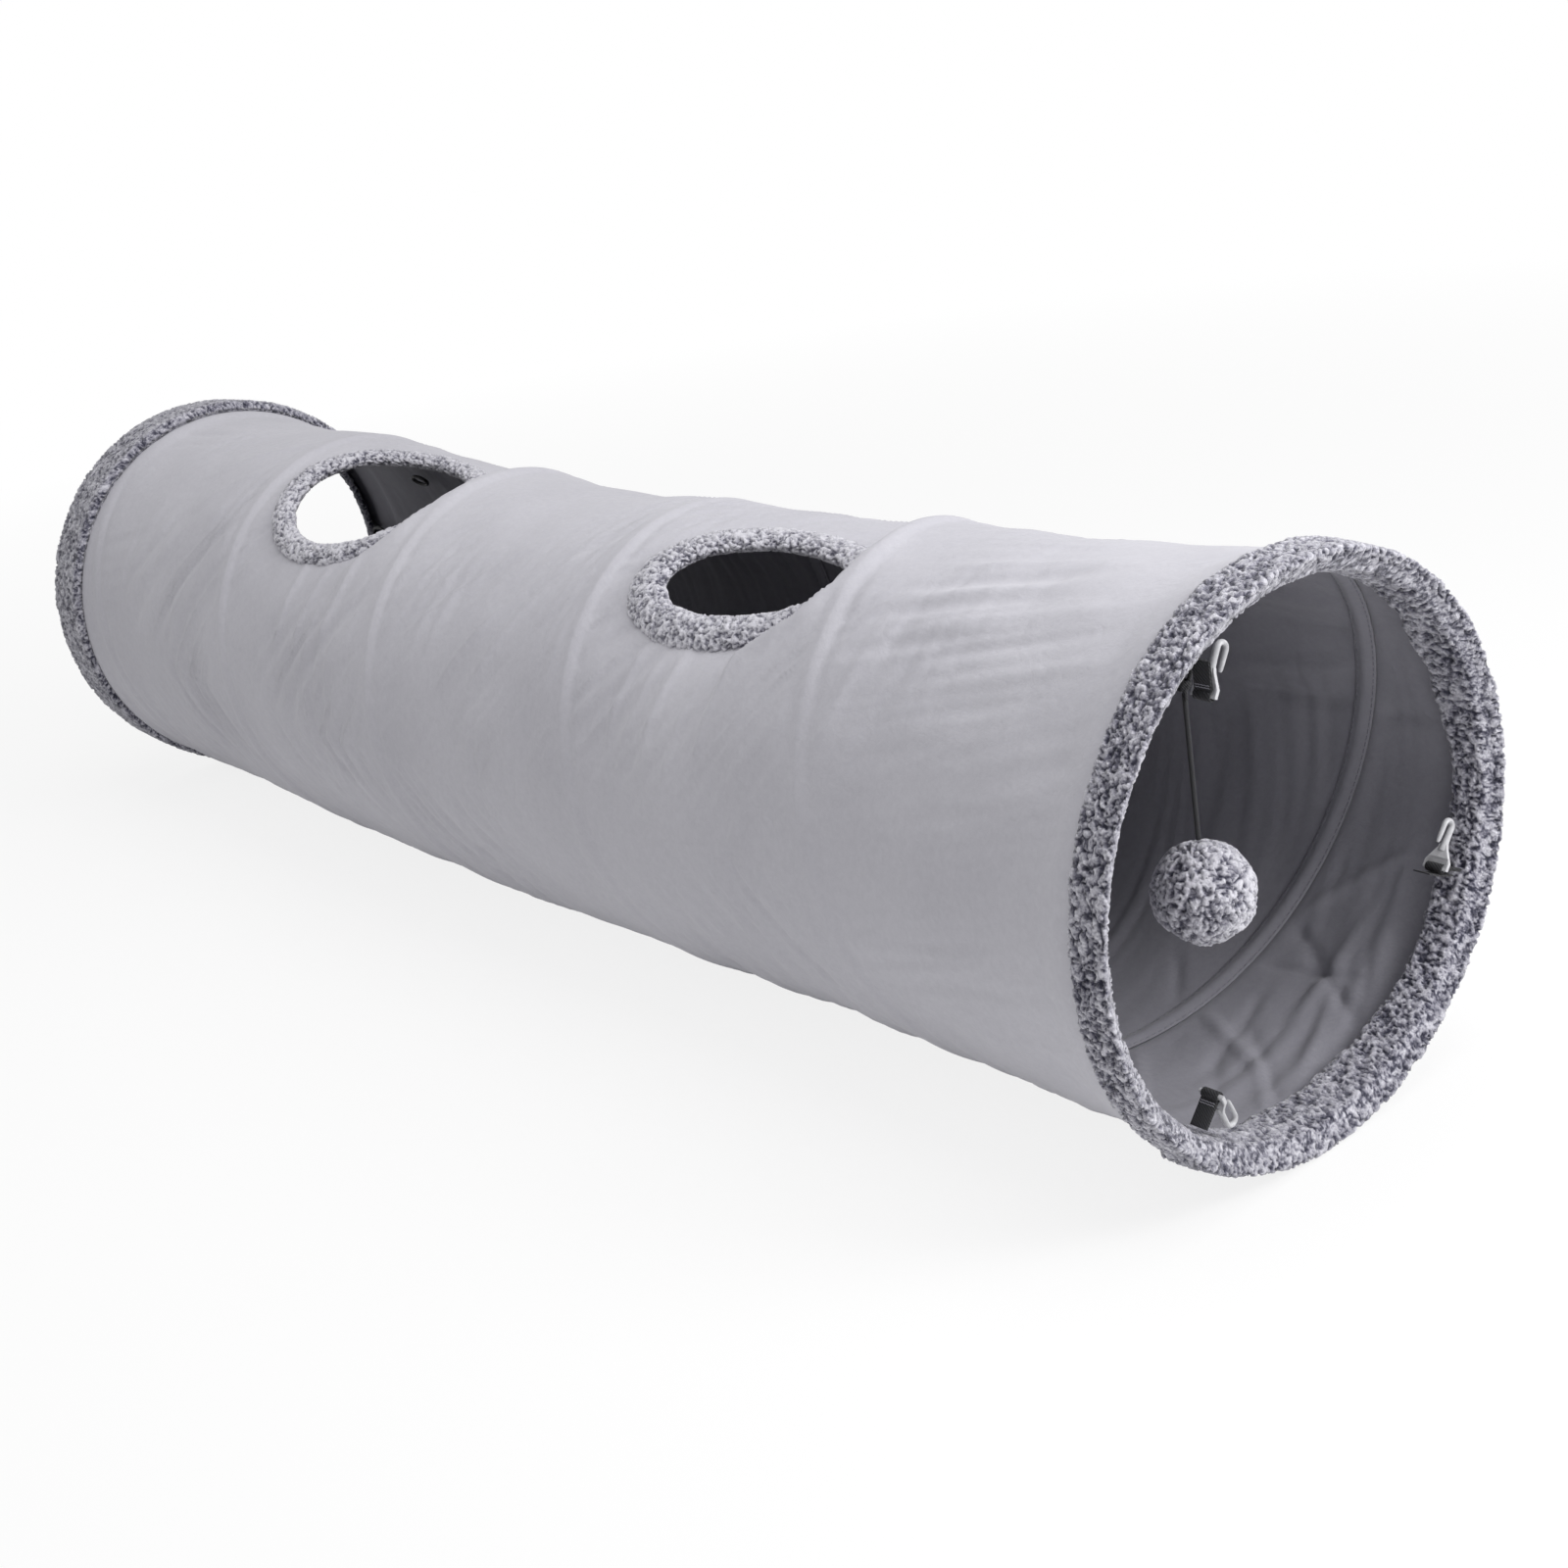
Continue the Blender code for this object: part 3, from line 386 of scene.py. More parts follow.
def moved_faces(faces, start):
    """Faces whose points begin at start."""
    return [tuple(start + index for index in face) for face in faces]


def round_angles(count):
    """Angles that go once round in even steps."""
    return [2.0 * math.pi * step / count for step in range(count)]


def curve_mesh(curve):
    """The mesh of a curve, which is removed."""
    carrier = linked("carrier", curve)
    bpy.context.view_layer.update()
    evaluated = carrier.evaluated_get(bpy.context.evaluated_depsgraph_get())
    mesh = bpy.data.meshes.new_from_object(evaluated)
    bpy.data.objects.remove(carrier, do_unlink=True)
    bpy.data.curves.remove(curve)
    return mesh


def poly_curve(name, lines, bevel, resolution, cyclic=False):
    """A curve with a straight-sided spline through each list of points."""
    curve = bpy.data.curves.new(name, "CURVE")
    curve.dimensions = "3D"
    curve.bevel_depth = bevel
    curve.bevel_resolution = resolution
    curve.use_fill_caps = not cyclic
    for points in lines:
        spline = curve.splines.new("POLY")
        spline.points.add(len(points) - 1)
        for place, point in zip(spline.points, points):
            place.co = (*point, 1.0)
        spline.use_cyclic_u = cyclic
    return curve


def tube_mesh(points, radius, cyclic=False, shares=()):
    """A smooth round tube through points, with a share of the radius at each if given."""
    curve = poly_curve("tube", [points], radius, 4, cyclic)
    for place, share in zip(curve.splines[0].points, shares):
        place.radius = share
    return curve_mesh(curve)


def joined(meshes):
    """One mesh made of several, which are removed."""
    work = bmesh.new()
    for mesh in meshes:
        work.from_mesh(mesh)
        bpy.data.meshes.remove(mesh)
    result = bpy.data.meshes.new("joined")
    work.to_mesh(result)
    work.free()
    return result


def stitches_mesh(places, length, radius):
    """Short thread stitches, each from its middle, direction and outward direction."""
    points, faces = [], []
    sides = 6
    profile = [(-0.5, 0.3), (-0.36, 0.9), (0.0, 1.0), (0.36, 0.9), (0.5, 0.3)]
    for middle, along, outward in places:
        across = along.cross(outward).normalized()
        start = len(points)
        for share, width in profile:
            for side in range(sides):
                angle = 2.0 * math.pi * side / sides
                round_it = outward * math.cos(angle) + across * math.sin(angle)
                points.append(middle + along * (share * length) + round_it * (radius * width))
        faces += moved_faces(tube_faces(len(profile), sides), start)
    mesh = bpy.data.meshes.new("stitches")
    mesh.from_pydata([tuple(point) for point in points], [], faces)
    return mesh


def ease(share):
    share = np.clip(share, 0.0, 1.0)
    return share * share * (3.0 - 2.0 * share)


# Materials

def set_sockets(node, **values):
    """Set a node's sockets by name, with an underscore for each space."""
    for name, value in values.items():
        node.inputs[name.replace("_", " ").title()].default_value = value


class Nodes:
    """A material's node tree with short calls for the nodes that this file uses."""

    def __init__(self, name):
        self.material = bpy.data.materials.new(name)
        self.material.use_nodes = True
        self.tree = self.material.node_tree
        self.shader = self.tree.nodes["Principled BSDF"]
        self.place = self.tree.nodes.new("ShaderNodeTexCoord").outputs["Object"]

    def link(self, source, target):
        self.tree.links.new(source, target)

    def noise(self, scale, detail=2.0, distortion=0.0, roughness=0.5):
        node = self.tree.nodes.new("ShaderNodeTexNoise")
        set_sockets(node, scale=scale, detail=detail, distortion=distortion, roughness=roughness)
        self.link(self.place, node.inputs["Vector"])
        return node.outputs["Fac"]

    def wave(self, scale, direction, distortion=0.0):
        node = self.tree.nodes.new("ShaderNodeTexWave")
        node.bands_direction = direction
        set_sockets(node, scale=scale, distortion=distortion)
        self.link(self.place, node.inputs["Vector"])
        return node.outputs["Fac"]

    def attribute(self, name):
        node = self.tree.nodes.new("ShaderNodeAttribute")
        node.attribute_name = name
        return node.outputs["Fac"]

    def math(self, operation, one, two):
        node = self.tree.nodes.new("ShaderNodeMath")
        node.operation = operation
        for socket, value in zip(node.inputs, (one, two)):
            if isinstance(value, (int, float)):
                socket.default_value = value
            else:
                self.link(value, socket)
        return node.outputs[0]

    def weighted(self, *terms):
        """Sum of factors, each times its weight."""
        total = None
        for factor, weight in terms:
            part = self.math("MULTIPLY", factor, weight)
            total = part if total is None else self.math("ADD", total, part)
        return total

    def ramp(self, factor, stops):
        node = self.tree.nodes.new("ShaderNodeValToRGB")
        elements = node.color_ramp.elements
        while len(elements) < len(stops):
            elements.new(1.0)
        for element, (position, colour) in zip(elements, stops):
            element.position = position
            element.color = (*colour, 1.0)
        self.link(factor, node.inputs["Fac"])
        return node.outputs["Color"]

    def bump(self, height, strength, distance, before=None):
        node = self.tree.nodes.new("ShaderNodeBump")
        set_sockets(node, strength=strength, distance=distance)
        self.link(height, node.inputs["Height"])
        if before is not None:
            self.link(before, node.inputs["Normal"])
        return node.outputs["Normal"]

    def finish(self, colour, roughness, normal=None, **sockets):
        self.link(colour, self.shader.inputs["Base Color"])
        set_sockets(self.shader, roughness=roughness, **sockets)
        if normal is not None:
            self.link(normal, self.shader.inputs["Normal"])
        return self.material


def cloth_material(name, dark, light):
    nodes = Nodes(name)
    patches = nodes.noise(7.0, 3.0)
    nap = nodes.noise(260.0, 4.0, 0.6)
    fibres = nodes.noise(900.0, 2.0)
    factor = nodes.weighted((patches, 0.55), (nap, 0.30), (fibres, 0.15))
    colour = nodes.ramp(factor, [(0.34, dark), (0.66, light)])
    crumple = nodes.noise(60.0, 4.0, 0.8, 0.55)
    normal = nodes.bump(fibres, 0.20, 0.0003)
    normal = nodes.bump(nap, 0.22, 0.0006, normal)
    normal = nodes.bump(crumple, 0.35, 0.0016, normal)
    return nodes.finish(colour, 0.95, normal, sheen_weight=0.18, sheen_roughness=0.5)


def plush_material(name, lift):
    """Curly plush in lavender grey with navy flecks; a higher lift gives a paler pile."""
    nodes = Nodes(name)
    pile = nodes.attribute("pile")
    flecks = nodes.noise(340.0, 2.0, 0.9, 0.6)
    curls = nodes.noise(900.0, 2.0, 0.6, 0.6)
    tone = nodes.noise(60.0, 2.0, 0.8)
    factor = nodes.weighted((pile, 0.42), (flecks, 0.62), (curls, 0.20), (tone, 0.10))
    colour = nodes.ramp(factor, [
        (0.48 - lift, (0.022, 0.022, 0.045)),
        (0.60 - lift, (0.130, 0.127, 0.170)),
        (0.71 - lift, (0.345, 0.339, 0.395)),
        (0.88 - lift, (0.680, 0.670, 0.730)),
    ])
    normal = nodes.bump(curls, 0.8, 0.0010)
    return nodes.finish(colour, 0.95, normal, sheen_weight=0.45, sheen_roughness=0.5)


def patterned_material(name, pattern, edge, dark, light, roughness, bump, **sockets):
    """One fine pattern, given by its method and settings, makes both two tones and a light bump."""
    nodes = Nodes(name)
    method, *settings = pattern
    factor = method(nodes, *settings)
    colour = nodes.ramp(factor, [(edge, dark), (1.0 - edge, light)])
    return nodes.finish(colour, roughness, nodes.bump(factor, *bump), **sockets)


def steel_material():
    return patterned_material(
        "drawn_steel", (Nodes.noise, 400.0, 3.0), 0.3, (0.42, 0.42, 0.43), (0.62, 0.62, 0.63),
        0.35, (0.1, 0.0002), metallic=1.0)


def webbing_material():
    return patterned_material(
        "black_webbing", (Nodes.wave, 320.0, "DIAGONAL"), 0.2, (0.008, 0.008, 0.010),
        (0.024, 0.024, 0.028), 0.8, (0.6, 0.0004), sheen_weight=0.1)


def elastic_material():
    return patterned_material(
        "black_elastic", (Nodes.wave, 420.0, "DIAGONAL", 1.5), 0.2, (0.006, 0.006, 0.008),
        (0.018, 0.018, 0.022), 0.7, (0.7, 0.0003), sheen_weight=0.1)


def plastic_material():
    return patterned_material(
        "moulded_plastic", (Nodes.noise, 600.0, 3.0), 0.3, (0.50, 0.50, 0.52), (0.58, 0.58, 0.60),
        0.42, (0.08, 0.0002))


def thread_material(name, dark, light):
    return patterned_material(name, (Nodes.noise, 1500.0, 2.0), 0.3, dark, light, 0.75, (0.5, 0.0002))


# How the body rests

def resting_table():
    """Fine, smooth table of the resting stations."""
    x = np.arange(-RESTING_END, RESTING_END + RESTING_STEP / 2.0, RESTING_STEP)
    places, *measures = np.array(RESTING).T
    kernel = np.hanning(RESTING_BLUR + 2)[1:-1]
    kernel /= kernel.sum()
    return x, [np.convolve(np.interp(x, places, measure), kernel, "same") for measure in measures]


RESTING_X, (RESTING_DROP, RESTING_HEIGHT, RESTING_WIDTH, RESTING_SHIFT) = resting_table()


def settle(points):
    """Let points of the round tunnel sink as the body does between its mouths."""
    points = np.array([tuple(point) for point in points], float)
    x = points[:, 0]
    drop = np.interp(x, RESTING_X, RESTING_DROP)
    taller = 1.0 + np.interp(x, RESTING_X, RESTING_HEIGHT) / BODY_RADIUS
    wider = 1.0 + np.interp(x, RESTING_X, RESTING_WIDTH) / BODY_RADIUS
    points[:, 1] *= wider
    points[:, 2] = AXIS_Z - drop + (points[:, 2] - AXIS_Z) * taller
    points[:, 2] = np.maximum(points[:, 2], FLOOR_GAP)
    return points


# The cloth's shape

def shifted(x):
    """Where an even turn of the wire really stands along X."""
    return x + np.interp(x, RESTING_X, RESTING_SHIFT)


def unshifted(x):
    """Where a point would be if the turns stood evenly."""
    even = np.array(x, float)
    for _ in range(UNSHIFT_ROUNDS):
        even = x - np.interp(even, RESTING_X, RESTING_SHIFT)
    return even


def helix_x(turn):
    """Where an even turn of the wire lies along X at a turn angle counted without limit."""
    return HELIX_END_X - (HELIX_END_ANGLE - turn) * PITCH / (2.0 * math.pi)


def wire_distance(x, turn):
    """Signed distance along X from the nearest turn of the wire."""
    return (unshifted(x) - helix_x(turn) + PITCH / 2.0) % PITCH - PITCH / 2.0


def arc_from(turn, middle):
    """Signed distance round the wall from a turn angle."""
    return ((turn - middle + math.pi) % (2.0 * math.pi) - math.pi) * BODY_RADIUS


def in_hole_axes(x, turn, hole):
    """Distance along and across a peep hole from its middle."""
    away = x - hole[0]
    upwards = -arc_from(turn, turn_of(hole[1]))
    return (
        away * math.cos(HOLE_LEAN) + upwards * math.sin(HOLE_LEAN),
        upwards * math.cos(HOLE_LEAN) - away * math.sin(HOLE_LEAN),
    )


def fold_height(x, turn):
    """Raised or sunken drag folds, tapering out at both ends."""
    start_slope, start_share = 3.0, 0.6
    end_slope, end_share = 2.2, 0.3
    total = np.zeros_like(x)
    for x0, front0, x1, front1, height, width in FOLDS:
        length_x = x1 - x0
        length_arc = math.radians(front0 - front1) * BODY_RADIUS
        length = math.hypot(length_x, length_arc)
        away_x = x - x0
        away_arc = arc_from(turn, turn_of(front0))
        along = (away_x * length_x + away_arc * length_arc) / length
        across = (away_x * length_arc - away_arc * length_x) / length
        share = along / length
        taper = ease(share * start_slope + start_share) * ease((1.0 - share) * end_slope + end_share)
        total += height * taper * np.exp(-((across / width) ** 2))
    return total


def hole_height(x, turn):
    """The cloth sinks towards each hole's near end, behind a crest that stands before it."""
    total = np.zeros_like(x)
    for word, (hole_x, front, half_length, half_arc) in HOLES.items():
        along, across = in_hole_axes(x, turn, (hole_x, front))
        front_here = front - np.degrees(arc_from(turn, turn_of(front)) / BODY_RADIUS)
        fronts, places = zip(*CRESTS[word])
        behind = np.interp(front_here, fronts, places) - x
        fall = ease(behind / CREST_WIDTHS[word])
        start = ease((along + half_length + SINK_LEAD) / SINK_LEAD_RUN)
        share = np.clip((along + half_length) / (2.0 * half_length), 0.0, 1.0)
        deepening = SINK_SHALLOW + (1.0 - SINK_SHALLOW) * share ** SINK_POWER
        around = np.exp(-((across / (SINK_REACH[word] * half_arc)) ** 4))
        total -= HOLE_SINK[word] * fall * start * deepening * around
        total += CREST_LIFT * np.exp(-(((behind + CREST_SET_BACK) / CREST_SPREAD) ** 2)) * around
    return total


def streaks(value):
    """Sharp ridges where a noise crosses zero."""
    return 0.5 - 2.0 * abs(value)


def wrinkle_noise(points):
    """Fine drag lines as height: round the tunnel, leaning, and lengthwise near the mouths."""
    round_gap, round_run, round_height = ROUND_LINES
    fine_gap, fine_run, fine_height = FINE_LINES
    slanting_gap, slanting_run, slanting_height = SLANTING_LINES
    lengthwise_gap, lengthwise_run, lengthwise_height = LENGTHWISE_LINES
    result = np.empty(len(points))
    for index, (x, y, z) in enumerate(points):
        turn = math.atan2(z, y)
        leaning = float(ease((math.cos(turn - LEAN_MIDDLE) + 0.3) / 0.8))
        lengthwise = float(ease((x - 0.34) / 0.08) + ease((-x - 0.44) / 0.06)) * leaning
        round_share = 1.0 - max(leaning * 0.7, lengthwise)
        lines = noise.noise(Vector((x / round_gap, y / round_run, z / round_run)))
        fine_lines = noise.noise(Vector((x / fine_gap + 7.0, y / fine_run, z / fine_run)))
        slant_x = x - LEAN_SLOPE * BODY_RADIUS * (math.pi - abs(turn))
        slanting = noise.noise(Vector((slant_x / slanting_gap, y / slanting_run + 4.0, z / slanting_run)))
        spun = turn + LENGTHWISE_SPIN * x
        spun_y = math.cos(spun) * BODY_RADIUS / lengthwise_gap
        spun_z = math.sin(spun) * BODY_RADIUS / lengthwise_gap
        lengthways = noise.noise(Vector((x / lengthwise_run, spun_y, spun_z)))
        mask = 0.45 + noise.noise(Vector((x / 0.10, y / 0.09 + 5.0, z / 0.09)))
        crumple = noise.noise(Vector((x / CRUMPLE_SIZE + 3.0, y / CRUMPLE_SIZE, z / CRUMPLE_SIZE)))
        result[index] = (
            round_height * streaks(lines) * mask * round_share
            + slanting_height * streaks(slanting) * mask * leaning * (1.0 - lengthwise)
            + lengthwise_height * streaks(lengthways) * mask * lengthwise
            + fine_height * fine_lines * mask
            + CRUMPLE_HEIGHT * crumple
        )
    return result


def cloth_height(x, turn):
    """Height of the cloth's outside over the body radius, without wrinkles, and its slack."""
    signed = wire_distance(x, turn)
    offset = np.abs(signed)
    reach = np.minimum(offset, np.abs(HOOP_X - np.abs(x)))
    upward = np.sin(turn)
    sag = np.where(
        upward > 0.0,
        SAG_SIDE + (SAG_TOP - SAG_SIDE) * upward ** 2,
        SAG_SIDE + (SAG_BOTTOM - SAG_SIDE) * upward ** 2,
    )
    share = np.clip(reach / (PITCH / 2.0), 0.0, 1.0)
    height = -sag * (1.0 - (1.0 - share) ** SAG_POWER)
    slack = ease((reach - SLACK_START) / SLACK_RUN)
    height += hole_height(x, turn)
    height += fold_height(x, turn) * slack
    height += RIDGE_LIFT * np.exp(-((offset / RIDGE_HALF_WIDTH) ** 2))
    height -= SEAM_DEPTH * np.exp(-(((signed - SEAM_OFFSET) / SEAM_HALF_WIDTH) ** 2))
    return height, slack


def make_cover(material, painted_shade_lining):
    """The cloth tube as one sheet whose rows follow the wire, with the peep holes left open."""
    columns = COVER_COLUMNS
    rim_margin = 0.0006
    last_row = COVER_ROWS_BY_WIRE[-1]
    hollow = PITCH - 2.0 * last_row
    offsets = [0.0, *COVER_ROWS_BY_WIRE]
    offsets += [last_row + hollow * row / COVER_ROWS_BETWEEN for row in range(1, COVER_ROWS_BETWEEN)]
    offsets += [PITCH - row for row in reversed(COVER_ROWS_BY_WIRE)]
    rows_per_turn = len(offsets)
    all_rows = range(-COVER_TURNS * rows_per_turn, COVER_TURNS * rows_per_turn)

    def row_x(turn, row):
        return helix_x(turn) + (row // rows_per_turn) * PITCH + offsets[row % rows_per_turn]

    place_x, place_turn = [], []
    column_rows = []
    for column in range(columns):
        turn = 2.0 * math.pi * column / columns
        rows = [row for row in all_rows if abs(row_x(turn, row)) < COVER_END_X - rim_margin]
        start = len(place_x)
        place_x += [-COVER_END_X] + [row_x(turn, row) for row in rows] + [COVER_END_X]
        place_turn += [turn] * (len(rows) + 2)
        column_rows.append((rows[0], rows[-1], start))
    x = shifted(np.array(place_x))
    turn = np.array(place_turn)
    height, slack = cloth_height(x, turn)
    on_wall = np.stack([x, BODY_RADIUS * np.cos(turn), BODY_RADIUS * np.sin(turn)], axis=1)
    height += wrinkle_noise(on_wall) * slack
    radius = BODY_RADIUS + height
    band = np.where(x > 0.0, NEAR_BAND_WIDTH, FAR_BAND_WIDTH)
    flare = 1.0 - ease((MOUTH_X - np.abs(x) - band - FLARE_MARGIN) / FLARE_LENGTH)
    radius = radius + (BAND_INNER_RADIUS + FLARE_PRESS - radius) * flare
    points = settle(np.stack([x, radius * np.cos(turn), AXIS_Z + radius * np.sin(turn)], axis=1))

    faces = []
    for column in range(columns):
        low_a, high_a, start_a = column_rows[column]
        low_b, high_b, start_b = column_rows[(column + 1) % columns]
        wrap = rows_per_turn if column == columns - 1 else 0
        low_b, high_b = low_b - wrap, high_b - wrap

        def at_a(row):
            return start_a + 1 + row - low_a

        def at_b(row):
            return start_b + 1 + row - low_b

        first, last = max(low_a, low_b), min(high_a, high_b)
        for row in range(first, last):
            faces.append((at_a(row), at_a(row + 1), at_b(row + 1), at_b(row)))
        near_a = [at_a(row) for row in range(last, high_a + 1)]
        near_b = [at_b(row) for row in range(last, high_b + 1)]
        faces.append((*near_a, at_a(high_a) + 1, at_b(high_b) + 1, *reversed(near_b)))
        far_a = [at_a(row) for row in range(low_a, first + 1)]
        far_b = [at_b(row) for row in range(low_b, first + 1)]
        faces.append((start_a, *far_a, *reversed(far_b), start_b))

    middles_x = np.array([x[list(face)].mean() for face in faces])
    middles_turn = np.array([turn[face[0]] for face in faces]) + math.pi / columns
    keep = np.ones(len(faces), bool)
    for word, (hole_x, front, half_length, half_arc) in HOLES.items():
        along, across = in_hole_axes(middles_x, middles_turn, (hole_x, front))
        inset = TRIM_WIDTHS[word] / 2.0
        keep &= (along / (half_length - inset)) ** 2 + (across / (half_arc - inset)) ** 2 > 1.0
    faces = [face for face, kept in zip(faces, keep) if kept]
    item = mesh_object("cover_cloth", points, faces, material)
    turn_faces_out(item, loose=True)
    solidify = item.modifiers.new("thickness", "SOLIDIFY")
    solidify.thickness = CLOTH_THICKNESS
    solidify.offset = -1.0
    # The inner face takes the lining, the same cloth painted about half as dark: painted shade.
    item.data.materials.append(painted_shade_lining)
    solidify.material_offset = 1
    apply_modifiers(item)
    item.data.shade_smooth()
    return item


# Plush

def pile_height(point):
    """Height of the curly pile at a point, from 0 in a gap to 1 on a curl."""
    bent = point * PILE_CURLS + noise.noise_vector(point * PILE_BENDS) * 0.55
    gap = abs(noise.noise(bent)) * 3.2
    closed = max(noise.noise(point * PILE_PATCHES + Vector((11.0, 3.0, 5.0))), 0.0) * 1.4
    fine = noise.noise(point * PILE_HAIRS + Vector((2.0, 9.0, 4.0)))
    lump = noise.noise(point * PILE_LUMPS + Vector((6.0, 1.0, 7.0)))
    return min(max(0.78 * min(gap + closed, 1.0) + 0.16 * fine + 0.16 * lump, 0.0), 1.0)


def plush_object(name, points, normals, weights, faces, material, depth):
    """A plush piece: each point moves out by the pile's height, which its colour also follows."""
    heights = [pile_height(Vector(point)) for point in points]
    moved = [
        Vector(point) + Vector(normal) * (depth * (height - PILE_MIDDLE) * weight)
        for point, normal, weight, height in zip(points, normals, weights, heights)
    ]
    for point in moved:
        point.z = max(point.z, FLOOR_GAP)
    item = mesh_object(name, moved, faces, material)
    pile = item.data.attributes.new("pile", "FLOAT", "POINT")
    pile.data.foreach_set("value", heights)
    turn_faces_out(item)
    return item


def round_noise(angle, size, seed):
    """Noise that closes on itself round a circle."""
    return noise.noise(Vector((math.cos(angle) * size, math.sin(angle) * size, seed)))


def rounded_outline(corners, step):
    """Points about a step apart along a closed outline of (x, radius, rounding) corners."""
    result = []
    count = len(corners)
    for index, (x, r, rounding) in enumerate(corners):
        here = Vector((x, r))
        before = Vector(corners[index - 1][:2])
        after = Vector(corners[(index + 1) % count][:2])
        to_before = (before - here).normalized()
        to_after = (after - here).normalized()
        start = here + to_before * rounding
        end = here + to_after * rounding
        turns = max(2, int(rounding * 1.6 / step) + 1)
        for part in range(turns + 1):
            share = part / turns
            result.append(start.lerp(here, share).lerp(here.lerp(end, share), share))
        gap = (after - here).length - rounding - corners[(index + 1) % count][2]
        steps = int(gap / step)
        for part in range(1, steps):
            result.append(end + to_after * (gap * part / steps))
    return result


def make_binding(name, side, band_width, legs, narrowing, puff, step, material):
    """Plush tape folded over a mouth, with a thin lip and a lumpy inner edge."""
    segments = int(2.0 * math.pi * RIM_RADIUS / (step * 1.1))
    corners = [
        (band_width, BAND_INNER_RADIUS, 0.0008),
        (band_width - 0.0010, RIM_RADIUS - 0.0012, 0.0044),
        (BINDING_NOSE, RIM_RADIUS - 0.0030, 0.0034),
        (BINDING_LIP_DEPTH, BINDING_LIP_RADIUS, 0.0030),
        (0.0200, LEG_INNER_RADIUS + 0.0004, 0.0030),
        (LEG_DRAWN, LEG_INNER_RADIUS + 0.0004, 0.0024),
        (LEG_DRAWN, LEG_OUTER_RADIUS - 0.0004, 0.0006),
        (BINDING_LIP_DEPTH + 0.0020, LEG_OUTER_RADIUS - 0.0004, 0.0006),
        (BINDING_WEB + 0.0008, BAND_INNER_RADIUS - 0.0006, 0.0003),
        (BINDING_WEB + 0.0008, BAND_INNER_RADIUS, 0.0002),
    ]
    outline = rounded_outline(corners, step)
    count = len(outline)
    hidden = [
        BINDING_WEB < place.x and LEG_OUTER_RADIUS - 0.0006 < place.y < BAND_INNER_RADIUS + 0.0012
        for place in outline
    ]
    directions = []
    for index in range(count):
        along = outline[(index + 1) % count] - outline[index - 1]
        directions.append(Vector((along.y, -along.x)).normalized())
    highest = max(range(count), key=lambda index: outline[index].y)
    if directions[highest].y < 0.0:
        directions = [-direction for direction in directions]
    leg_drawn = LEG_DRAWN - BINDING_LIP_DEPTH
    fronts, widths = zip(*legs)
    narrow_fronts, narrow_by = zip(*narrowing)
    points, normals, weights = [], [], []
    for segment in range(segments):
        turn = 2.0 * math.pi * segment / segments
        front = (180.0 - math.degrees(turn)) % 360.0
        lump = round_noise(turn, 4.5, side * 3.0)
        lump_fine = round_noise(turn, 15.0, side * 5.0)
        leg = float(np.interp(front, fronts, widths)) + 0.0030 * lump + 0.0018 * lump_fine
        narrowed = float(np.interp(front, narrow_fronts, narrow_by))
        overlap = 0.0
        if side > 0.0:
            past = (OVERLAP_FRONT - front) % 360.0
            overlap = OVERLAP_LIFT * float(ease(past / OVERLAP_EDGE) * (1.0 - ease(past / OVERLAP_LENGTH)))
        for index, place in enumerate(outline):
            x, radius = place
            if radius < LEG_OUTER_RADIUS and x > BINDING_LIP_DEPTH:
                x = BINDING_LIP_DEPTH + (x - BINDING_LIP_DEPTH) * (leg - BINDING_LIP_DEPTH) / leg_drawn
            if radius > BAND_INNER_RADIUS:
                x = BINDING_NOSE + (x - BINDING_NOSE) * (1.0 - narrowed / band_width)
                if x > band_width / 2.0:
                    x += 0.0012 * lump_fine
                raised = overlap + 0.0007 * lump + puff * (0.5 + 0.5 * math.sin(turn))
                radius += raised * min((radius - BAND_INNER_RADIUS) / 0.003, 1.0)
            points.append(around_axis(side * (MOUTH_X - x), turn, radius))
            outward = around_axis(-side * directions[index].x, turn, directions[index].y)
            normals.append(outward - Vector((0.0, 0.0, AXIS_Z)))
            weights.append(0.0 if hidden[index] else 1.0)
    faces = tube_faces(segments, count, True)
    return plush_object(name, points, normals, weights, faces, material, PILE_DEPTH)


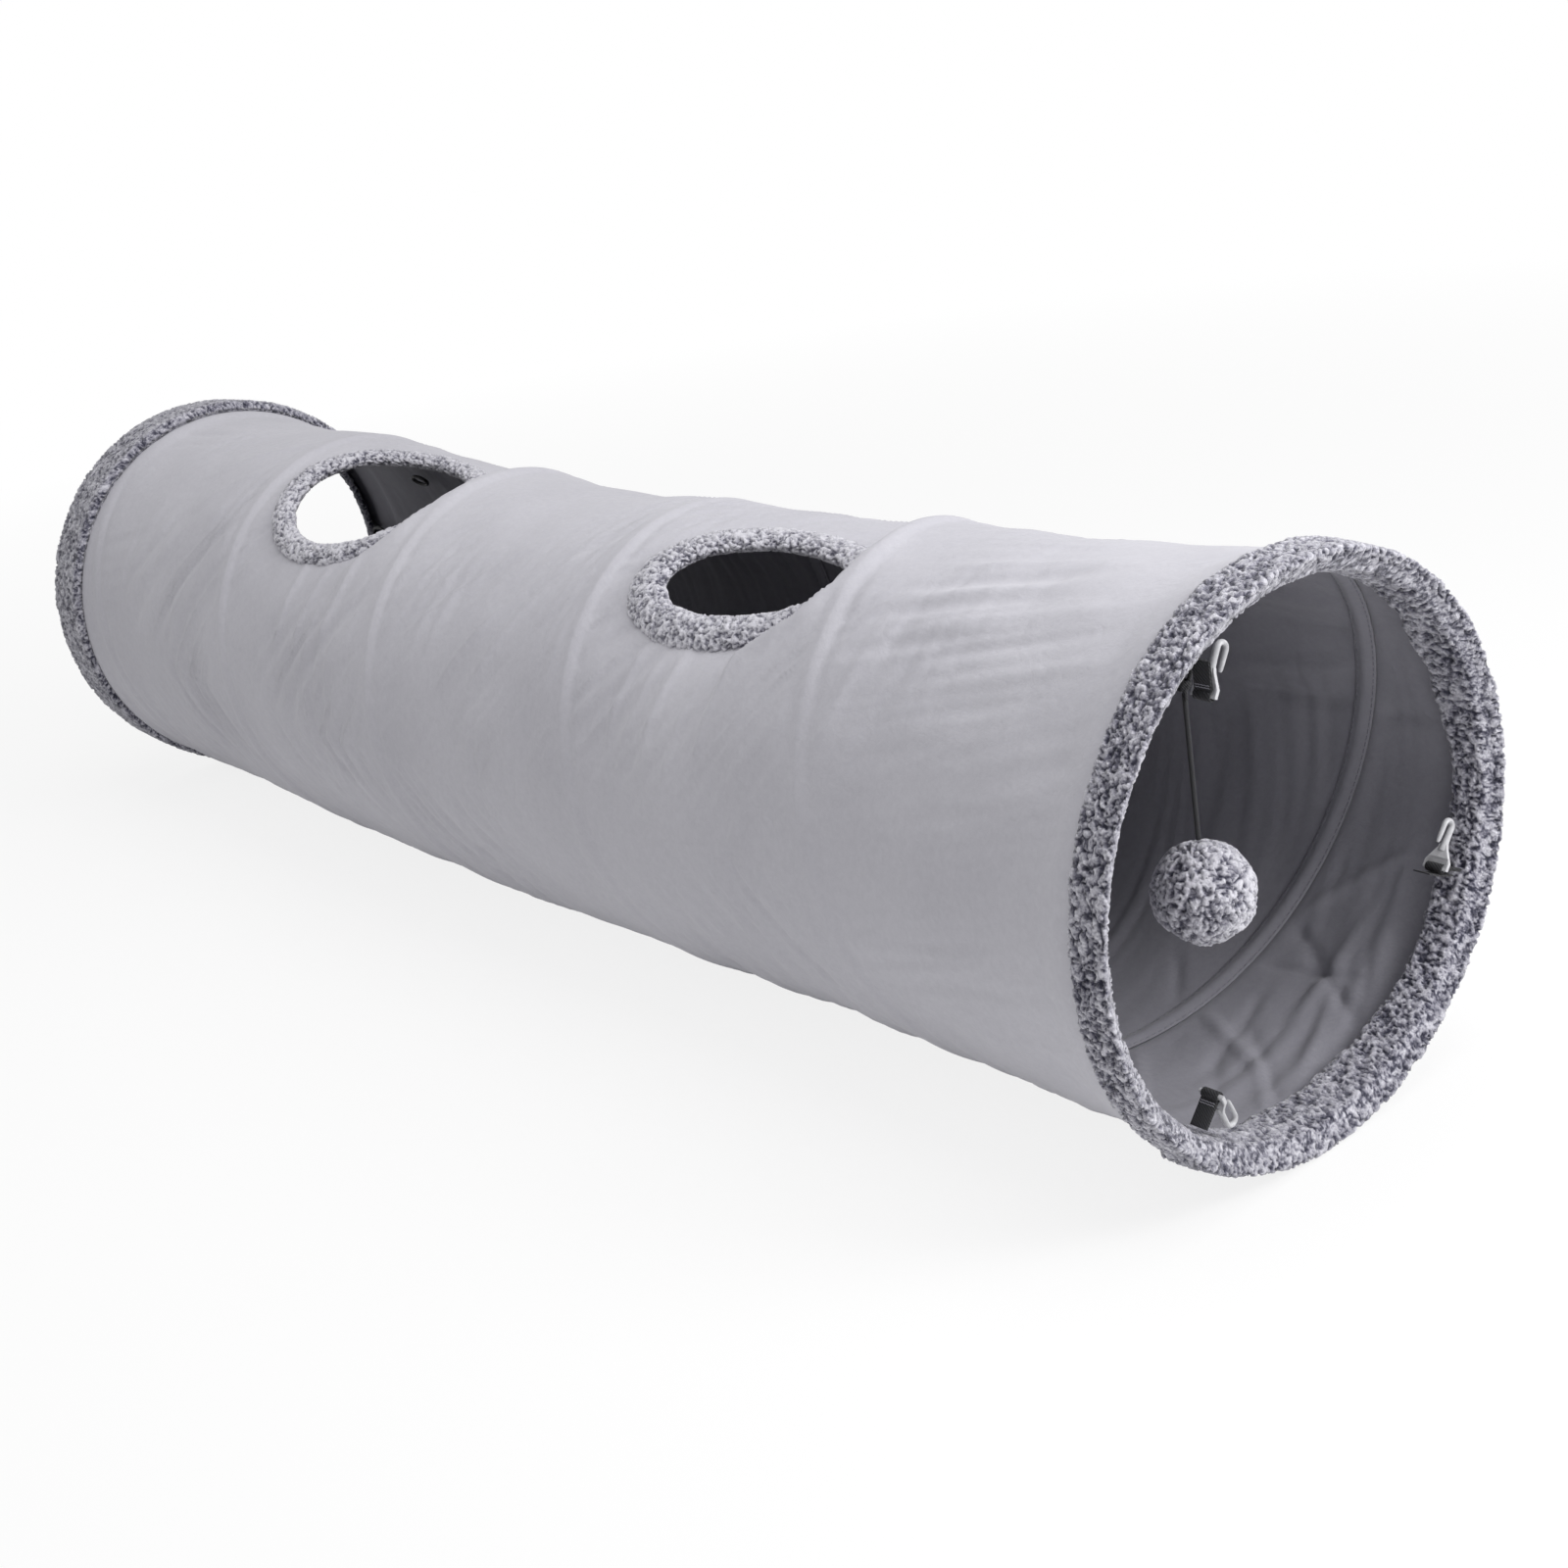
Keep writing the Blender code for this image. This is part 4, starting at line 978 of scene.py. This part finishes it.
def make_trim(word, material):
    """The rolled plush rim of a peep hole, lying on the cloth as it sinks."""
    hole_x, front, half_length, half_arc = HOLES[word]
    width = TRIM_WIDTHS[word]
    middle = turn_of(front)
    hole_axes = Matrix.Rotation(-HOLE_LEAN, 2)
    press = 0.0002
    xs, turns, ups, normals, centre_xs, centre_turns = [], [], [], [], [], []
    for angle in round_angles(TRIM_STEPS):
        half_width = width / 2.0 * (1.0 + 0.12 * round_noise(angle, 3.5, hole_x * 40.0))
        direction = Vector((math.cos(angle) / half_length, math.sin(angle) / half_arc)).normalized()
        direction_x, direction_arc = hole_axes @ direction
        centre_away, centre_arc = hole_axes @ Vector((
            (half_length - width / 2.0) * math.cos(angle),
            (half_arc - width / 2.0) * math.sin(angle),
        ))
        centre_x = hole_x + centre_away
        centre_turn = middle + centre_arc / BODY_RADIUS
        for around in round_angles(TRIM_SIDES):
            out = math.cos(around) * half_width
            turn = centre_turn + direction_arc * out / BODY_RADIUS
            xs.append(centre_x + direction_x * out)
            turns.append(turn)
            centre_xs.append(centre_x)
            centre_turns.append(centre_turn)
            ups.append(math.sin(around) * TRIM_THICKNESS / 2.0)
            slope = Vector((direction_x * math.cos(around), 0.0, 0.0))
            tangent = Vector((0.0, -math.sin(turn), math.cos(turn)))
            outward = Vector((0.0, math.cos(turn), math.sin(turn)))
            normal = slope + tangent * (direction_arc * math.cos(around)) + outward * math.sin(around)
            normals.append(normal.normalized())
    here, _ = cloth_height(np.array(xs), np.array(turns))
    centre, _ = cloth_height(np.array(centre_xs), np.array(centre_turns))
    radii = BODY_RADIUS + TRIM_STIFFNESS * centre + (1.0 - TRIM_STIFFNESS) * here + np.array(ups) - press
    points = settle([around_axis(*place) for place in zip(xs, turns, radii)])
    faces = tube_faces(TRIM_STEPS, TRIM_SIDES, True)
    weights = [1.0] * len(points)
    return plush_object(f"peephole_rim_{word}", points, normals, weights, faces, material, TRIM_PILE_DEPTH)


def make_ball(material):
    """The plush ball, a touch uneven as a stuffed ball is."""
    low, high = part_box("toy_ball")
    centre = (Vector(low) + Vector(high)) / 2.0
    radius = (high[2] - low[2]) / 2.0 - BALL_PILE
    work = bmesh.new()
    bmesh.ops.create_icosphere(work, subdivisions=6, radius=1.0)
    normals = [vert.co.copy() for vert in work.verts]
    faces = [[vert.index for vert in face.verts] for face in work.faces]
    work.free()
    points = []
    for normal in normals:
        lump = noise.noise(normal * 2.2 + Vector((4.0, 1.0, 8.0)))
        points.append(centre + normal * (radius + BALL_LUMPS * lump))
    weights = [1.0] * len(points)
    return plush_object("plush_ball", points, normals, weights, faces, material, PILE_DEPTH)


# Frame pieces along the wire

def along_helix(count, short=0.0):
    """Turn angles from the far end of the helix to its near end."""
    start = HELIX_END_ANGLE - 2.0 * math.pi * HELIX_TURNS + short
    end = HELIX_END_ANGLE - short
    return [start + (end - start) * step / (count - 1) for step in range(count)]


def by_wire(turn, height, offset=0.0):
    """A point beside the wire's middle, at a height over the body radius."""
    return around_axis(float(shifted(helix_x(turn))) + offset, turn, BODY_RADIUS + height)


def make_wire(material):
    """The spring wire as a smooth tube."""
    lengthwise = Vector((1.0, 0.0, 0.0))
    points = []
    for turn in along_helix(WIRE_STEPS):
        outward = Vector((0.0, math.cos(turn), math.sin(turn)))
        centre = by_wire(turn, -WIRE_DEPTH)
        for angle in round_angles(WIRE_SIDES):
            side = outward * math.cos(angle) + lengthwise * math.sin(angle)
            points.append(centre + side * WIRE_RADIUS)
    item = mesh_object("spring_wire_coil", settle(points), tube_faces(WIRE_STEPS, WIRE_SIDES), material)
    turn_faces_out(item)
    return item


def make_tape(material):
    """The channel's inner tape, swelling over the wire between its two rows of stitches."""
    middle = (0.0, -0.0044)
    half = [(0.0016, -0.0042), (0.0032, -0.0035), (0.0046, -0.0028), (0.0056, -0.0025), (0.0064, -0.0022)]
    inside = [*[(-offset, height) for offset, height in reversed(half)], middle, *half]
    ring = [*inside, *[(offset, height + TAPE_THICKNESS) for offset, height in reversed(inside)]]
    turns = along_helix(TAPE_STEPS, TAPE_SHORT)
    points = [by_wire(turn, height, offset) for turn in turns for offset, height in ring]
    item = mesh_object("channel_tape_strip", settle(points), tube_faces(TAPE_STEPS, len(ring)), material)
    turn_faces_out(item)
    return item


def make_channel_stitches(material):
    """The two rows of stitches that hold the channel's tape, seen inside."""
    count = int(2.0 * math.pi * BODY_RADIUS * HELIX_TURNS / STITCH_SPACING)
    turns = along_helix(count, STITCHES_SHORT)
    places = []
    for offset in (-STITCH_ROW, STITCH_ROW):
        row = settle([by_wire(turn, -STITCH_DEPTH, offset) for turn in turns])
        for turn, here, there in zip(turns, row, row[1:]):
            here, there = Vector(here), Vector(there)
            inward = Vector((0.0, -math.cos(turn), -math.sin(turn)))
            places.append(((here + there) / 2.0, (there - here).normalized(), inward))
    stitches = stitches_mesh(places, STITCH_LENGTH, STITCH_RADIUS)
    return add_item("channel_stitches", stitches, material)


# Closures and the toy's small pieces

def closure_matrix(place):
    """World matrix at a strap's eye: X across the strap, Y along it, Z off its face."""
    joint = JOINTS["hook_turn_" + place]
    across = -Vector(joint["axis"])
    front = math.radians(CLOSURE_FRONTS[place])
    if place == "upper":
        along = Vector((0.0, 0.0, -1.0))
    else:
        along = Vector((0.0, math.cos(front), -math.sin(front)))
    matrix = Matrix((across, along, across.cross(along))).transposed().to_4x4()
    matrix.translation = Vector(joint["pos_m"])
    return matrix


def strap_tail(length, eye):
    """A loose end of webbing that hangs past the eye: its points and faces."""
    steps = 14
    root = -0.010
    bulge = 0.0006
    points = []
    for step in range(steps + 1):
        share = step / steps
        along = root + (length - root) * share
        off = -(eye + STRAP_LAYER) - bulge * math.sin(math.pi * share)
        for across, layer in ((-0.5, -0.5), (0.5, -0.5), (0.5, 0.5), (-0.5, 0.5)):
            points.append((across * STRAP_WIDTH, along, off + layer * STRAP_LAYER))
    return points, tube_faces(steps + 1, 4)


def strap_stitches():
    """Two zigzag rows across both faces of a strap, above its eye."""
    places = []
    for row in (0.0040, 0.0052):
        for step in range(-4, 5):
            slant = Vector((1.0, 0.35 * (-1.0) ** step, 0.0)).normalized()
            for face in (-1.0, 1.0):
                middle = Vector((step * 0.00095, -row, face * (STRAP_LAYER + 0.0001)))
                places.append((middle, slant, Vector((0.0, 0.0, face))))
    return stitches_mesh(places, 0.0012, 0.00022)


def make_strap(place, webbing, thread):
    """A short webbing strap folded round its hook's bar, with a sewn bar above the eye."""
    eye = STRAP_EYE_BORE + STRAP_LAYER / 2.0
    half = STRAP_LAYER / 2.0 + 0.00005
    start = math.asin(half / eye)
    leg_steps, eye_steps = 8, 24
    leg = [
        (-STRAP_LENGTH * (1.0 - step / leg_steps) - eye * step / leg_steps, half) for step in range(leg_steps)
    ]
    route = list(leg)
    for step in range(eye_steps + 1):
        angle = start + 2.0 * (math.pi - start) * step / eye_steps
        route.append((-eye * math.cos(angle), eye * math.sin(angle)))
    route += [(along, -off) for along, off in reversed(leg)]
    edges = [(-0.5, 0.55), (-0.47, 1.0), (0.47, 1.0), (0.5, 0.55)]
    section = [*[(across, -thick) for across, thick in edges], *reversed(edges)]
    points = []
    for index, (along, off) in enumerate(route):
        before = Vector(route[max(index - 1, 0)])
        after = Vector(route[min(index + 1, len(route) - 1)])
        run = (after - before).normalized()
        normal = Vector((-run.y, run.x)) * (STRAP_LAYER / 2.0)
        for across, layer in section:
            points.append((across * STRAP_WIDTH, along + normal.x * layer, off + normal.y * layer))
    faces = tube_faces(len(route), len(section))
    if place in STRAP_TAILS:
        tail_points, tail_faces = strap_tail(STRAP_TAILS[place], eye)
        faces += moved_faces(tail_faces, len(points))
        points += tail_points
    strap = mesh_object("strap_webbing_" + place, points, faces, webbing)
    strap.data.transform(closure_matrix(place))
    turn_faces_out(strap)
    strap.data.set_sharp_from_angle(angle=math.radians(50.0))
    sewn = add_item("strap_stitches_" + place, strap_stitches(), thread)
    sewn.data.transform(closure_matrix(place))
    return strap, sewn


def hook_plate():
    """The hook's flat plate with its slot for the strap."""
    edge = 0.0004
    outer = HOOK_SLOT_HALF + HOOK_CHEEK
    top = HOOK_BAR_HALF + HOOK_SLOT_HEIGHT
    right = [
        (outer, -HOOK_BAR_HALF), (outer, HOOK_SHOULDER),
        (HOOK_NECK_HALF + 0.0006, HOOK_PLATE_LENGTH - 0.0020), (HOOK_NECK_HALF, HOOK_PLATE_LENGTH),
    ]
    left = [(-across, along) for across, along in reversed(right)]
    outline = [left[-1], *right, *left[:-1]]
    slot = [
        (-HOOK_SLOT_HALF, HOOK_BAR_HALF), (HOOK_SLOT_HALF, HOOK_BAR_HALF),
        (HOOK_SLOT_HALF, top), (-HOOK_SLOT_HALF, top),
    ]
    lines = [[(across, along, 0.0) for across, along in shape] for shape in (outline, slot)]
    curve = poly_curve("plate", lines, edge, 3, cyclic=True)
    curve.dimensions = "2D"
    curve.fill_mode = "BOTH"
    curve.extrude = HOOK_PLATE_THICKNESS / 2.0 - edge
    curve.offset = -edge
    return curve_mesh(curve)


def hook_stem():
    """The round stem with its bend and tapered tip, from inside the plate."""
    bend_start = HOOK_PLATE_LENGTH + HOOK_STEM_LENGTH
    steps = 14
    points = [Vector((0.0, HOOK_PLATE_LENGTH - HOOK_NECK_HALF * share, 0.0)) for share in (1.6, 1.0, 0.4)]
    points.append(Vector((0.0, HOOK_PLATE_LENGTH + HOOK_STEM_LENGTH / 2.0, 0.0)))
    shares = [1.15, 1.3, 1.15, 1.0]
    for step in range(steps + 1):
        angle = math.pi * step / steps
        along = bend_start + HOOK_BEND_RADIUS * math.sin(angle)
        points.append(Vector((0.0, along, HOOK_BEND_RADIUS * (math.cos(angle) - 1.0))))
        shares.append(1.0 - 0.22 * step / steps)
    last = points[-1]
    for share, width in ((0.5, 0.72), (0.9, 0.60), (1.0, 0.42)):
        points.append(last - Vector((0.0, HOOK_TIP_LENGTH * share, 0.0)))
        shares.append(width)
    stem = tube_mesh(points, HOOK_STEM_RADIUS, shares=shares)
    stem.transform(Matrix.Scale(HOOK_STEM_SPREAD, 4, Vector((1.0, 0.0, 0.0))))
    return stem


def make_hook(place, material):
    """A moulded hook with soft edges, leaning on its strap's eye."""
    item = add_item("moulded_hook_" + place, joined([hook_plate(), hook_stem()]), material)
    turn = Matrix.Rotation(math.radians(90.0 + HOOK_LEANS[place]), 4, "X")
    item.data.transform(closure_matrix(place) @ turn)
    turn_faces_out(item)
    item.data.set_sharp_from_angle(angle=math.radians(35.0))
    return item


def loop_mesh(root, turn, laid=list):
    """A sewn elastic loop that lies along the tunnel from its root, its points passed through laid."""
    along = Vector((1.0, 0.0, 0.0))
    across = Vector((0.0, math.sin(turn), -math.cos(turn)))
    half_length = LOOP_LENGTH / 2.0
    half_width = LOOP_WIDTH / 2.0
    points = [
        root + across * ((half_width - LOOP_RADIUS) * math.sin(angle))
        + along * (half_length - (half_length - LOOP_RADIUS) * math.cos(angle))
        for angle in round_angles(LOOP_STEPS)
    ]
    return tube_mesh(laid(points), LOOP_RADIUS, cyclic=True)


def make_far_loop(place, material):
    turn = turn_of(CLOSURE_FRONTS[place] + LOOP_FRONT_OFFSET)
    root = around_axis(LOOP_ROOT_INSET - MOUTH_X, turn, LEG_INNER_RADIUS + LOOP_SEAT_DEPTH)
    return add_item("far_loop_" + place, loop_mesh(root, turn), material)


def make_inner_loop(material):
    """The spare loop on the inside of the wall near the far mouth."""
    low, high = (Vector(corner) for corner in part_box("inner_loop"))
    middle = (low + high) / 2.0
    turn = math.atan2(middle.z - AXIS_Z, middle.y)
    root = around_axis(low.x, turn, math.hypot(middle.y, middle.z - AXIS_Z))
    return add_item("inner_loop_elastic", loop_mesh(root, turn, settle), material)


def toy_pivot():
    return Vector(JOINTS["toy_swing_across"]["pos_m"])


def make_hanger(material):
    """A doubled elastic from the binding to the knot, its two strands spread round the knot."""
    _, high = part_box("toy_hanger")
    pivot = toy_pivot()
    top = Vector((high[0] - WIRE_RADIUS, pivot.y, high[2]))
    points = []
    for angle in round_angles(36):
        share = 0.5 - 0.5 * math.cos(angle)
        spread = HANGER_SPREAD * math.sin(angle) * (0.25 + 0.75 * share)
        points.append(top.lerp(pivot, share) + Vector((0.35 * spread, spread, 0.0)))
    return add_item("hanger_elastic", tube_mesh(points, HANGER_RADIUS, cyclic=True), material)


def make_knot(material):
    """The knot as three wraps of the cord over each other, with a short cut end."""
    pivot = toy_pivot()
    meshes = []
    for tilt, spin in ((0.5, 0.0), (-0.5, 1.0), (1.3, 2.1)):
        turn = Matrix.Rotation(spin, 3, "Z") @ Matrix.Rotation(tilt, 3, "X")
        ring = [
            pivot + turn @ Vector((math.cos(angle) * KNOT_WRAP, math.sin(angle) * KNOT_WRAP, 0.0))
            for angle in round_angles(24)
        ]
        meshes.append(tube_mesh(ring, KNOT_STRAND, cyclic=True))
    tail = [(0.0016, -0.0014, -0.0010), (0.0028, -0.0024, -0.0036), (0.0030, -0.0026, -0.0062)]
    meshes.append(tube_mesh([pivot + Vector(offset) for offset in tail], HANGER_RADIUS))
    return add_item("cord_knot", joined(meshes), material)


def make_cord(material):
    """The ball's elastic cord from the knot down into the ball."""
    low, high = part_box("toy_cord")
    centre_x = (low[0] + high[0]) / 2.0
    centre_y = (low[1] + high[1]) / 2.0
    radius = (high[0] - low[0]) / 2.0
    steps = 20
    path = [Vector((centre_x, centre_y, high[2] + (low[2] - high[2]) * step / steps)) for step in range(steps + 1)]
    item = linked("toy_cord_elastic", poly_curve("toy_cord_elastic", [path], radius, 3))
    item.data.materials.append(material)
    return item, path, radius * 2.0


# Stage

def seen_strength(tree):
    """1 for what the camera sees directly, in a reflection or through glass, and otherwise 0."""
    rays = tree.nodes.new("ShaderNodeLightPath")
    total = rays.outputs["Is Camera Ray"]
    for name in ("Is Glossy Ray", "Is Transmission Ray"):
        node = tree.nodes.new("ShaderNodeMath")
        node.operation = "MAXIMUM"
        tree.links.new(total, node.inputs[0])
        tree.links.new(rays.outputs[name], node.inputs[1])
        total = node.outputs[0]
    return total


def show_white(tree, share, plain, white, output):
    """Mix a white shader over the plain one by a share."""
    mix = tree.nodes.new("ShaderNodeMixShader")
    for source, target in zip((share, plain, white), mix.inputs):
        tree.links.new(source, target)
    tree.links.new(mix.outputs[0], tree.nodes[output].inputs["Surface"])


def make_floor():
    """A white floor that keeps the object's shadow and fades to full white far off."""
    mesh = bpy.data.meshes.new("floor")
    work = bmesh.new()
    bmesh.ops.create_circle(work, cap_ends=True, segments=96, radius=FLOOR_RADIUS)
    work.to_mesh(mesh)
    work.free()
    nodes = Nodes("floor_white")
    set_sockets(nodes.shader, base_color=(0.92, 0.92, 0.92, 1.0), roughness=1.0)
    nodes.shader.inputs["Specular IOR Level"].default_value = 0.0
    tree = nodes.tree
    distance = tree.nodes.new("ShaderNodeVectorMath")
    distance.operation = "LENGTH"
    nodes.link(nodes.place, distance.inputs[0])
    far_off = tree.nodes.new("ShaderNodeMapRange")
    set_sockets(far_off, from_min=0.9, from_max=2.2, to_min=0.83, to_max=1.0)
    nodes.link(distance.outputs["Value"], far_off.inputs["Value"])
    share = nodes.math("MULTIPLY", far_off.outputs["Result"], seen_strength(tree))
    white = tree.nodes.new("ShaderNodeEmission")
    show_white(tree, share, nodes.shader.outputs[0], white.outputs[0], "Material Output")
    mesh.materials.append(nodes.material)
    linked("floor", mesh)


def make_world():
    """An even world light that the camera sees as white."""
    world = bpy.data.worlds.new("studio")
    bpy.context.scene.world = world
    world.use_nodes = True
    tree = world.node_tree
    background = tree.nodes["Background"]
    seen = tree.nodes.new("ShaderNodeBackground")
    for node, strength in ((background, WORLD_STRENGTH), (seen, 1.0)):
        set_sockets(node, color=(1.0, 1.0, 1.0, 1.0), strength=strength)
    show_white(tree, seen_strength(tree), background.outputs[0], seen.outputs[0], "World Output")


def make_lamps():
    """Square lamps aimed at the tunnel: name, place, size in metres and power in watts."""
    for name, place, size, energy in (
        ("key", (0.5, 0.1, 2.4), 1.6, 22.0),
        ("mouth_side", (1.75, 0.75, 1.5), 1.0, 15.0),
        ("mouth_floor", (1.25, 0.30, 0.70), 0.35, 4.0),
    ):
        light = bpy.data.lights.new(name, "AREA")
        light.size = size
        light.energy = energy
        lamp = linked(name, light)
        lamp.location = place
        aim = Vector((0.1, 0.0, AXIS_Z)) - Vector(place)
        lamp.rotation_euler = aim.to_track_quat("-Z", "Y").to_euler()


def make_camera():
    back = Vector((
        math.sin(CAMERA_AZIMUTH) * math.cos(CAMERA_ELEVATION),
        -math.cos(CAMERA_AZIMUTH) * math.cos(CAMERA_ELEVATION),
        math.sin(CAMERA_ELEVATION),
    ))
    right = Vector((math.cos(CAMERA_AZIMUTH), math.sin(CAMERA_AZIMUTH), 0.0))
    up = back.cross(right)
    turned_right = right * math.cos(CAMERA_ROLL) + up * math.sin(CAMERA_ROLL)
    turned_up = up * math.cos(CAMERA_ROLL) - right * math.sin(CAMERA_ROLL)
    data = bpy.data.cameras.new("photo_camera")
    data.lens = CAMERA_LENS
    data.sensor_width = 36.0
    data.clip_end = 100.0
    camera = linked("photo_camera", data)
    matrix = Matrix((turned_right, turned_up, back)).transposed().to_4x4()
    matrix.translation = CAMERA_PLACE
    camera.matrix_world = matrix
    bpy.context.scene.camera = camera


def stand_for(item, body, *names):
    """Ride on a body and stand for CAD nodes, which are hidden."""
    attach(item, body)
    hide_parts(*names)


def shorten(item):
    """Give the piece its own copy of its mesh."""
    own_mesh(item)


def dress_cover(material, painted_shade_lining, steel, thread):
    """The cloth tube with its wire, tape and stitches."""
    cover = make_cover(material, painted_shade_lining)
    # The tape inside takes the same darker lining, which is painted shade.
    tape = make_tape(painted_shade_lining)
    stand_for(cover, "near_end", *[f"cover_section_{number}" for number in range(1, 6)])
    wire = make_wire(steel)
    stand_for(wire, "near_end", "spring_wire")
    stand_for(tape, "near_end", "channel_tape")
    # The stitches inside take the darker thread, which is painted shade.
    stitches = make_channel_stitches(thread)
    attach(stitches, "near_end")
    for item in (cover, wire, tape, stitches):
        shorten(item)
    flat_width = 2.0 * math.pi * BODY_RADIUS
    flat_length = 2.0 * COVER_END_X
    area = flat_width * flat_length
    for word, (_, _, half_length, half_arc) in HOLES.items():
        inset = TRIM_WIDTHS[word] / 2.0
        area -= math.pi * (half_length - inset) * (half_arc - inset)


def dress_bindings(plush):
    near = make_binding("near_binding_plush", 1.0, NEAR_BAND_WIDTH, NEAR_LEG, NEAR_NARROWING, 0.0,
                        NEAR_BINDING_STEP, plush)
    stand_for(near, "near_end", "near_binding")
    far = make_binding("far_binding_plush", -1.0, FAR_BAND_WIDTH, FAR_LEG, FAR_NARROWING, FAR_PUFF,
                       FAR_BINDING_STEP, plush)
    stand_for(far, "far_end", "far_binding")


def dress_toy(plush, elastic):
    cord, path, diameter = make_cord(elastic)
    stand_for(cord, "toy", "toy_cord")
    ball = make_ball(plush)
    stand_for(ball, "toy", "toy_ball")
    stand_for(make_knot(elastic), "toy_swivel", "toy_knot")
    stand_for(make_hanger(elastic), "near_end", "toy_hanger")


def dress_closures(webbing, plastic, elastic, thread):
    for place in CLOSURE_FRONTS:
        strap, sewn = make_strap(place, webbing, thread)
        stand_for(strap, "near_end", "closure_strap_" + place)
        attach(sewn, "near_end")
        stand_for(make_hook(place, plastic), "hook_" + place, "closure_hook_" + place)
        stand_for(make_far_loop(place, elastic), "far_end", "closure_loop_" + place)
    inner_loop = make_inner_loop(elastic)
    stand_for(inner_loop, "section_5", "inner_loop")
    shorten(inner_loop)


def main():
    bpy.context.scene.view_settings.view_transform = "Standard"
    make_camera()
    make_floor()
    make_world()
    make_lamps()
    cloth = cloth_material("brushed_cloth", (0.475, 0.468, 0.515), (0.565, 0.558, 0.605))
    # The inside of the tube is the same cloth painted about half as dark, as painted shade.
    painted_shade_lining = cloth_material("painted_shade_cloth_lining", (0.240, 0.236, 0.270), (0.310, 0.305, 0.342))
    pale_plush = plush_material("pale_plush", 0.075)
    steel = steel_material()
    elastic = elastic_material()
    thread = thread_material("sewing_thread", (0.300, 0.295, 0.335), (0.420, 0.415, 0.460))
    # Thread for the stitches inside, painted darker than the sewing thread as shade.
    painted_shade_thread = thread_material("painted_shade_thread", (0.180, 0.177, 0.205), (0.260, 0.255, 0.290))

    dress_cover(cloth, painted_shade_lining, steel, painted_shade_thread)
    for word, number in (("near", 2), ("far", 4)):
        trim = make_trim(word, pale_plush)
        stand_for(trim, f"section_{number}", f"peephole_trim_{word}")
        shorten(trim)
    dress_bindings(plush_material("curly_plush", -0.030))
    dress_toy(plush_material("ball_plush", 0.050), elastic)
    dress_closures(webbing_material(), plastic_material(), elastic, thread)

    for name, node in frame["nodes"].items():
        if "hoop" in name or "ferrule" in name:
            for slot in node.material_slots:
                slot.material = steel


main()
